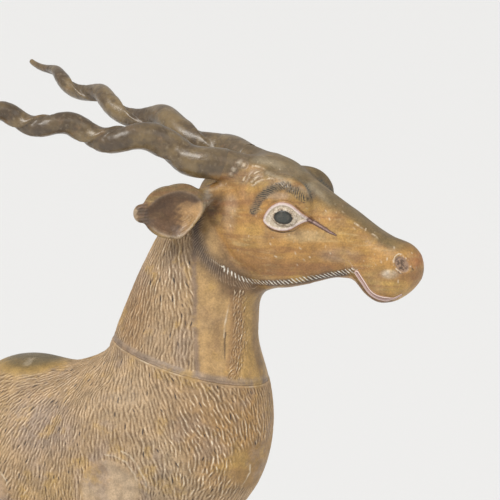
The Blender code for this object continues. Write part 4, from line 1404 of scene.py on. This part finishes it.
def horn_mesh(hand, rng):
    """A corkscrew horn as a fine tube with a spiral ledge, a rounded tip and the dents of the gouge."""
    line, radii, turning = horn_line(hand, HORN_RINGS)
    steps = np.linspace(0, 1, 9)[1:]
    tip = line[-1] - line[-2]
    tip /= np.linalg.norm(tip)
    line = np.vstack([line, line[-1] + tip * radii[-1] * 0.7 * np.sin(steps * math.pi / 2)[:, None]])
    radii = np.append(radii, radii[-1] * np.cos(steps * math.pi / 2 * 0.96))
    turning = np.append(turning, np.full(len(steps), turning[-1]))
    ahead = np.gradient(line, axis=0)
    ahead /= np.linalg.norm(ahead, axis=1)[:, None]
    sideways, upward = side_axes(ahead)
    count = 56
    angles = np.linspace(0, 2 * math.pi, count, endpoint=False)
    shares = np.linspace(0, 1, len(line))
    past = ((angles[None, :] - turning[:, None] - LEDGE_TURNS[hand]) / (2 * math.pi)) % 1
    ledge = smooth(0.0, 0.75, past) * smooth(1.0, 0.94, past)
    grown = (smooth(0.10, 0.24, shares) * smooth(0.96, 0.80, shares))[:, None]
    size = radii[:, None] * (1 + grown * (HORN_SWELL - HORN_LEDGE * (1 - ledge)))
    rings = (
        line[:, None]
        + size[..., None] * np.cos(angles)[None, :, None] * upward[:, None]
        + size[..., None] * np.sin(angles)[None, :, None] * sideways[:, None]
    )
    points = rings.reshape(-1, 3)
    faces = []
    for ring in range(len(line) - 1):
        for k in range(count):
            a, b = ring * count + k, ring * count + (k + 1) % count
            faces.append((a, b, b + count, a + count))
    faces.append(tuple(range(count - 1, -1, -1)))
    last = (len(line) - 1) * count
    faces.append(tuple(range(last, last + count)))
    if hand == "right":
        points = points * (1, -1, 1)
        faces = [face[::-1] for face in faces]
    mesh = bpy.data.meshes.new("horn")
    mesh.from_pydata(points, [], faces)
    with opened(mesh) as bm:
        bmesh.ops.recalc_face_normals(bm, faces=bm.faces)
    normals = mesh_normals(mesh)
    cells = Cells(points, CELL)
    dents = np.zeros(len(points))
    hollow = (grown * (1 - ledge)).ravel()
    chance = 0.25 + 0.75 * hollow
    for number in np.flatnonzero(rng.random(len(points)) < 0.09 * chance):
        size = rng.uniform(2.5, 6.0)
        near = cells.near(points[number], size)
        gap = np.linalg.norm(points[near] - points[number], axis=1) / size
        dents[near] = np.maximum(dents[near], rng.uniform(0.3, 1.0) * (1 - gap**2) ** 2)
    depth = 0.25 + 0.65 * hollow
    set_points(mesh, points - normals * (depth * dents)[:, None])
    keep(
        mesh,
        dent=dents,
        hollow=hollow,
        root=np.repeat(smooth(0.12, 0.02, shares), count),
        skin=smooth(855, 846, points[:, 2]) * smooth(298, 310, points[:, 0]),
    )
    return mesh


class Nodes:
    """Short ways to add shader nodes to one material."""

    def __init__(self, name):
        self.material = bpy.data.materials.new(name)
        self.material.use_nodes = True
        self.tree = self.material.node_tree
        self.shader = self.tree.nodes["Principled BSDF"]

    def add(self, kind, inputs=None, **settings):
        node = self.tree.nodes.new(kind)
        for name, value in settings.items():
            setattr(node, name, value)
        for name, value in (inputs or {}).items():
            self.give(node.inputs[name], value)
        return node

    def give(self, socket, value):
        if isinstance(value, bpy.types.NodeSocket):
            self.tree.links.new(value, socket)
        elif isinstance(value, tuple) and len(value) == 3 and socket.type == "RGBA":
            socket.default_value = (*value, 1)
        else:
            socket.default_value = value

    def attribute(self, name, output="Fac"):
        return self.add("ShaderNodeAttribute", attribute_name=name).outputs[output]

    def noise(self, scale, detail=4.0, roughness=0.6, stretch=(1, 1, 1), distortion=0.0):
        place = self.add("ShaderNodeTexCoord").outputs["Object"]
        mapping = self.add("ShaderNodeMapping", {"Vector": place, "Scale": stretch})
        return self.add(
            "ShaderNodeTexNoise",
            {
                "Vector": mapping.outputs["Vector"],
                "Scale": scale,
                "Detail": detail,
                "Roughness": roughness,
                "Distortion": distortion,
            },
        ).outputs["Fac"]

    def ramp(self, value, low, high, to_low=0.0, to_high=1.0):
        return self.add(
            "ShaderNodeMapRange",
            {"Value": value, "From Min": low, "From Max": high, "To Min": to_low, "To Max": to_high},
            interpolation_type="SMOOTHSTEP",
        ).outputs["Result"]

    def spots(self, scale, low, high, detail=3, roughness=0.6, to_low=0.0, to_high=1.0):
        """Soft spots: noise drawn out between low and high."""
        return self.ramp(self.noise(scale, detail, roughness), low, high, to_low, to_high)

    def math(self, operation, *values):
        node = self.tree.nodes.new("ShaderNodeMath")
        node.operation = operation
        for socket, value in zip(node.inputs, values):
            self.give(socket, value)
        return node.outputs[0]

    def times(self, first, second):
        return self.math("MULTIPLY", first, second)

    def wobbled(self, name, scale, reach):
        """A stored distance made uneven, so that its edges look painted by hand."""
        middle = self.math("SUBTRACT", self.attribute(name), reach / 2)
        return self.math("MULTIPLY_ADD", self.noise(scale, 3), reach, middle)

    def mix(self, share, first, second, blend="MIX"):
        node = self.tree.nodes.new("ShaderNodeMix")
        node.data_type = "RGBA"
        node.blend_type = blend
        self.give(node.inputs["Factor"], share)
        self.give(node.inputs[6], first)
        self.give(node.inputs[7], second)
        return node.outputs[2]

    def over(self, base, colour, share, strength=1.0):
        """The base with a colour laid over it by its share times a strength."""
        return self.mix(self.times(share, strength), base, colour)

    def bump(self, height, strength, distance, normal=None):
        node = self.add("ShaderNodeBump", {"Height": height, "Strength": strength, "Distance": distance})
        if normal is not None:
            self.give(node.inputs["Normal"], normal)
        return node.outputs["Normal"]


def hatch(n, name, pitch, lean, reach, thin, least=0.20):
    """Shader share of a row of slanting strokes whose places are stored on the mesh, least where worn."""
    beside = n.attribute(name + "_beside")
    slanted = n.math("MULTIPLY_ADD", beside, lean, n.attribute(name + "_arc"))
    place = n.math("ADD", slanted, n.times(n.noise(150, 2), 2.2))
    wave = n.math("PINGPONG", n.math("DIVIDE", place, pitch), 0.5)
    wave = n.math("MULTIPLY_ADD", n.noise(270, 2), 0.30, wave)
    strokes = n.ramp(wave, 0.65 - thin, 0.65 - 0.35 * thin)
    far = n.math("ADD", n.math("ABSOLUTE", beside), n.times(n.noise(420, 2), 5.0))
    patchy = n.spots(230, 0.34, 0.58, to_low=least)
    return n.times(n.times(strokes, patchy), n.ramp(far, reach + 3.4, reach + 1.4))


def carved_paint(name, with_face):
    """Worn paint over carved wood, with pale crests, brown grooves and dark nicks."""
    n = Nodes(name)
    base = n.attribute("paint", "Color")
    varied = n.ramp(n.attribute("stain"), 0.0, 1.0, 1.0, 0.25)
    for scale, low, high, share, colour in (
        (24, 0.50, 0.66, 0.16 if with_face else 0.50, LILAC),
        (33, 0.53, 0.68, 0.55, GOLD),
        (47, 0.54, 0.70, 0.40, FUR_BROWN),
    ):
        base = n.over(base, colour, n.times(n.spots(scale, low, high, 4), share), varied)
    ridge = n.attribute("ridge")
    crest = n.math("MULTIPLY_ADD", n.spots(120, 0.32, 0.64), 0.55, 0.25)
    # Painted highlights: glints laid on the crests where the stored glint zone is high
    glint = n.times(n.ramp(ridge, 0.45, 0.85), n.attribute("bright"))
    for colour, share, strength in (
        (GROOVE, n.ramp(ridge, 0.0, -0.70), 0.78),
        (CREST_PAINT, n.ramp(ridge, 0.10, 0.85), crest),
        (PAINTED_GLINT, glint, n.spots(150, 0.38, 0.62, to_low=0.25, to_high=0.95)),
        (NICK_PAINT, n.ramp(n.attribute("nick"), 0.25, 0.80), 0.88),
    ):
        base = n.over(base, colour, share, strength)
    gloss = n.attribute("gloss")
    if with_face:
        face = n.times(n.attribute("face"), varied)
        brushed = n.ramp(n.noise(34, 4, 0.6, (0.35, 1, 3.2), 0.6), 0.42, 0.70)
        base = n.over(base, RED_BROWN, n.times(brushed, face), 0.50)
        lighter = n.ramp(n.noise(52, 5, 0.6, (0.5, 1, 2.4), 0.8), 0.54, 0.72)
        base = n.over(base, WORN_GOLD, n.times(lighter, face), 0.45)
    cloudy = n.spots(75, 0.25, 0.75, 5, 0.65, 0.74, 1.22)
    shade = n.times(cloudy, n.spots(480, 0.28, 0.74, 4, 0.7, 0.80, 1.18))
    toned = n.add("ShaderNodeCombineColor", {"Red": shade, "Green": shade, "Blue": shade})
    base = n.mix(1.0, base, toned.outputs["Color"], "MULTIPLY")
    pale = n.times(n.ramp(n.attribute("pale"), 0.20, 0.90), n.spots(170, 0.34, 0.62, 4, to_low=0.15))
    base = n.over(base, CREAM, pale, 0.82)
    if with_face:
        base, wet = face_paint(n, base)
        gloss = n.math("ADD", gloss, wet)
    n.give(n.shader.inputs["Base Color"], base)
    rough = n.math("SUBTRACT", n.spots(60, 0.3, 0.7, 4, to_low=0.46, to_high=0.64), n.times(gloss, 0.20))
    n.give(n.shader.inputs["Roughness"], rough)
    normal = n.bump(n.noise(150, 4, 0.6), 0.40, 0.0014)
    normal = n.bump(n.noise(700, 4, 0.6), 0.30, 0.0005, normal)
    n.give(n.shader.inputs["Normal"], normal)
    return n.material


def face_paint(n, base):
    """The base colour with hatching, eye, tear, lips and nostril, and how wet the eye is."""
    eye = n.wobbled("eye", 210, 1.1)
    iris = n.wobbled("iris", 330, 0.30)
    tear = n.wobbled("tear", 260, 1.8)
    lips = n.math("ABSOLUTE", n.attribute("lips"))
    nostril = n.attribute("nostril")
    around = n.ramp(n.math("ABSOLUTE", n.math("SUBTRACT", nostril, 0.98)), 0.17, 0.07)
    for colour, share, strength in (
        (CREST_PAINT, hatch(n, "band", 2.8, 0.7, 7.5, 0.24), 0.28),
        (BRISTLE, hatch(n, "bristle", 4.3, 0.62, 2.6, 0.24, 0.50), 1.0),
        (LASH, hatch(n, "lash", 2.8, 0.85, 4.2, 0.36), 0.90),
        (UMBER_AND_SHADOW, n.ramp(n.attribute("dark"), 0.20, 0.90), 0.65),
        (RED_BROWN, n.ramp(eye, 2.4, 0.2), 0.55),
        (PINK, n.ramp(eye, 0.5, -0.1), 1.0),
        (EYE_RIM, n.ramp(eye, -0.7, -1.4), 1.0),
        (EYE_BEIGE, n.ramp(eye, -2.5, -3.2), 1.0),
        (EYE_DAB, n.times(n.spots(340, 0.50, 0.62), n.ramp(eye, -0.4, -1.2)), 0.60),
        (EYE_SMUDGE, n.times(n.spots(290, 0.54, 0.66), n.ramp(eye, -0.2, -1.0)), 0.45),
        (BROWN, n.times(n.ramp(iris, 1.60, 1.15), n.spots(260, 0.42, 0.58)), 0.70),
        (IRIS_EDGE, n.ramp(iris, 1.05, 0.97), 1.0),
        (IRIS, n.ramp(iris, 0.92, 0.55), 1.0),
        (IRIS_GLASS, n.times(n.spots(240, 0.50, 0.64), n.ramp(iris, 0.9, 0.6)), 0.5),
        (TEAR_EDGE, n.ramp(tear, 2.4, 1.5), 0.88),
        (TEAR_PINK, n.ramp(tear, 1.0, 0.4), 0.85),
        (RED_BROWN, n.ramp(lips, 3.4, 2.9), 1.0),
        (LIP_PINK, n.ramp(lips, 3.0, 2.5), 1.0),
        (PINK, n.ramp(lips, 1.9, 1.4), 1.0),
        (RED_BROWN, n.ramp(lips, 0.75, 0.35), 0.75),
        (NOSTRIL, n.ramp(nostril, 0.95, 0.75), 0.75),
        (UMBER_AND_SHADOW, n.times(n.ramp(nostril, 0.85, 0.65), n.spots(300, 0.40, 0.60)), 0.8),
        (NOSTRIL_RIM, n.times(around, n.spots(190, 0.48, 0.58)), 0.65),
    ):
        base = n.over(base, colour, share, strength)
    return base, n.times(n.ramp(iris, 1.1, 0.95), 0.5)


def horn_stain():
    """Dark olive-brown stain, rubbed lighter on the outer turns and rough in the hollows."""
    n = Nodes("stained_horn")
    hollow = n.attribute("hollow")
    base = n.mix(n.spots(30, 0.36, 0.66, 4, 0.65), HORN_DARK, HORN_LIGHT)
    for colour, share, strength in (
        (HORN_RUST, n.spots(64, 0.54, 0.70, 4), 0.5),
        (HORN_RUBBED, n.spots(190, 0.52, 0.72, 5, 0.7), 0.50),
        (HORN_HOLLOW, n.ramp(hollow, 0.25, 0.8), 0.55),
        (HORN_DENT, n.ramp(n.attribute("dent"), 0.25, 0.9), 0.40),
        (HORN_BROWN, n.attribute("root"), 0.6),
        (PEDICLE_BROWN, n.attribute("skin"), 0.85),
    ):
        base = n.over(base, colour, share, strength)
    n.give(n.shader.inputs["Base Color"], base)
    n.shader.inputs["Coat Weight"].default_value = 0.60
    n.shader.inputs["Coat Roughness"].default_value = 0.31
    rough = n.math("ADD", n.spots(90, 0.3, 0.7, 4, to_low=0.27, to_high=0.44), n.times(hollow, 0.14))
    n.give(n.shader.inputs["Roughness"], rough)
    normal = n.bump(n.noise(130, 3), 0.50, 0.0022)
    normal = n.bump(n.noise(600, 4), 0.35, 0.0006, normal)
    n.give(n.shader.inputs["Normal"], normal)
    return n.material


def plinth_wood():
    """Dark brown stained wood with its grain along the plinth."""
    n = Nodes("plinth_wood")
    grain = n.noise(60, 6, 0.65, (0.12, 1, 1), 0.8)
    pores = n.ramp(n.noise(500, 3, 0.6, (0.06, 1, 1)), 0.58, 0.72)
    base = n.mix(n.ramp(grain, 0.35, 0.65), PLINTH_DARK, PLINTH_BROWN)
    base = n.over(base, PLINTH_PORE, pores, 0.6)
    base = n.over(base, PLINTH_WORN, n.spots(24, 0.50, 0.72, 4), 0.35)
    n.give(n.shader.inputs["Base Color"], base)
    n.give(n.shader.inputs["Roughness"], n.spots(45, 0.3, 0.7, 4, to_low=0.42, to_high=0.62))
    normal = n.bump(grain, 0.35, 0.0012)
    normal = n.bump(pores, 0.3, 0.0004, normal)
    n.give(n.shader.inputs["Normal"], normal)
    return n.material


def make_body(surface):
    rise = Vector((SEAM_BACK[1] - SEAM_FRONT[1], 0, SEAM_FRONT[0] - SEAM_BACK[0])).normalized()
    seam = Vector((SEAM_BACK[0], 0, SEAM_BACK[1]))
    half_gap = rise * JOINT_GAP / PART / 2
    subdivided(surface.data, shown)
    press_finely(surface.data, 2)
    subdivided(surface.data, detailed)
    press_finely(surface.data, 1)
    lower = surface.data.copy()
    cut_flat(lower, (0, 0, SOLES), (0, 0, -1))
    cut_flat(lower, seam - half_gap, rise)
    paint_body(lower, *carve_fur(lower, np.random.default_rng(11)))
    paint = carved_paint("painted_fur", False)
    x, y, _ = vectors(lower.polygons, "center").T
    fore = x > FORE_START
    right = y < 0
    for name, keep_faces in (
        ("body_hind", x < HIND_END),
        ("body_middle", (x >= HIND_END) & ~fore),
        ("body_shoulder", fore & right & (x <= CHEST_START)),
        ("body_chest", fore & right & (x > CHEST_START)),
        ("body_left", fore & ~right),
    ):
        piece(name, lower, paint, "body", keep_faces)

    upper = surface.data.copy()
    cut_flat(upper, seam + half_gap, -rise)
    carved = carve_fur(upper, np.random.default_rng(12))
    carve_head(upper, *carved, np.random.default_rng(13))
    paint = carved_paint("painted_head", True)
    middles = vectors(upper.polygons, "center")
    on_head = (middles[:, 0] > FACE_START) & (headness(middles) > 0.5)
    muzzle = on_head & (middles[:, 0] > MUZZLE_START)
    piece("face", upper, paint, "head_and_neck", on_head & ~muzzle)
    piece("muzzle", upper, paint, "head_and_neck", muzzle)
    piece("neck", upper, paint, "head_and_neck", ~on_head)


def make_horns():
    stain = horn_stain()
    for hand, seed in (("left", 21), ("right", 22)):
        mesh = horn_mesh(hand, np.random.default_rng(seed))
        piece(f"carved_horn_{hand}", mesh, stain, f"horn_{hand}")


def make_plinth():
    low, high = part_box("plinth")
    bpy.ops.mesh.primitive_cube_add(size=1)
    made = bpy.context.active_object
    made.name = "carved_plinth"
    made.data.transform(Matrix.Diagonal((*(high - low), 1)))
    made.data.transform(Matrix.Translation((low + high) / 2))
    edges = made.modifiers.new("Eased edges", "BEVEL")
    edges.width = 0.005
    edges.segments = 5
    made.data.materials.append(plinth_wood())
    made.data.shade_smooth()
    made.data.set_sharp_from_angle(angle=math.radians(50))
    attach(made, "root")
    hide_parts("plinth")


def make_studio():
    bpy.ops.mesh.primitive_plane_add(size=120)
    floor = bpy.context.active_object
    floor.name = "floor"
    n = Nodes("floor")
    n.shader.inputs["Base Color"].default_value = (0.85, 0.865, 0.885, 1)
    n.shader.inputs["Roughness"].default_value = 0.9
    floor.data.materials.append(n.material)
    floor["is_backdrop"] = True

    world = bpy.data.worlds.new("studio")
    bpy.context.scene.world = world
    world.use_nodes = True
    sky = world.node_tree.nodes["Background"]
    sky.inputs["Color"].default_value = (1.0, 0.985, 0.955, 1)
    sky.inputs["Strength"].default_value = 0.50
    bpy.context.scene.view_settings.view_transform = "Standard"

    for name, turn, rise, angle, strength in (
        ("key", -18, 48, 24, 1.9),
        ("fill", 70, 30, 40, 0.45),
    ):
        lamp = bpy.data.lights.new(name, "SUN")
        lamp.angle = math.radians(angle)
        lamp.energy = strength
        lamp.color = (1.0, 0.97, 0.93)
        holder = bpy.data.objects.new(name, lamp)
        side, up = math.radians(turn), math.radians(rise)
        towards = Vector((math.sin(side) * math.cos(up), -math.cos(side) * math.cos(up), math.sin(up)))
        holder.rotation_euler = towards.to_track_quat("Z", "Y").to_euler()
        bpy.context.scene.collection.objects.link(holder)


def make_camera():
    """The photograph's view: turned from square on the right side towards the front, and from above."""
    turn, rise = math.radians(PHOTO_TURN), math.radians(PHOTO_RISE)
    aim = Vector(in_world([PHOTO_AIM])[0])
    away = Vector((math.sin(turn) * math.cos(rise), -math.cos(turn) * math.cos(rise), math.sin(rise)))
    camera = bpy.data.cameras.new("photo")
    camera.lens = PHOTO_LENS
    camera.sensor_width = 36
    holder = bpy.data.objects.new("photo", camera)
    holder.location = aim + away * PHOTO_DISTANCE
    holder.rotation_euler = (-away).to_track_quat("-Z", "Y").to_euler()
    bpy.context.scene.collection.objects.link(holder)
    bpy.context.scene.camera = holder


surface = carved_figure()
make_body(surface)
bpy.data.objects.remove(surface)
make_horns()
make_plinth()
make_studio()
make_camera()

boxes = [[list(map(float, corner)) for corner in box] for box in (solid_box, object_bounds())]
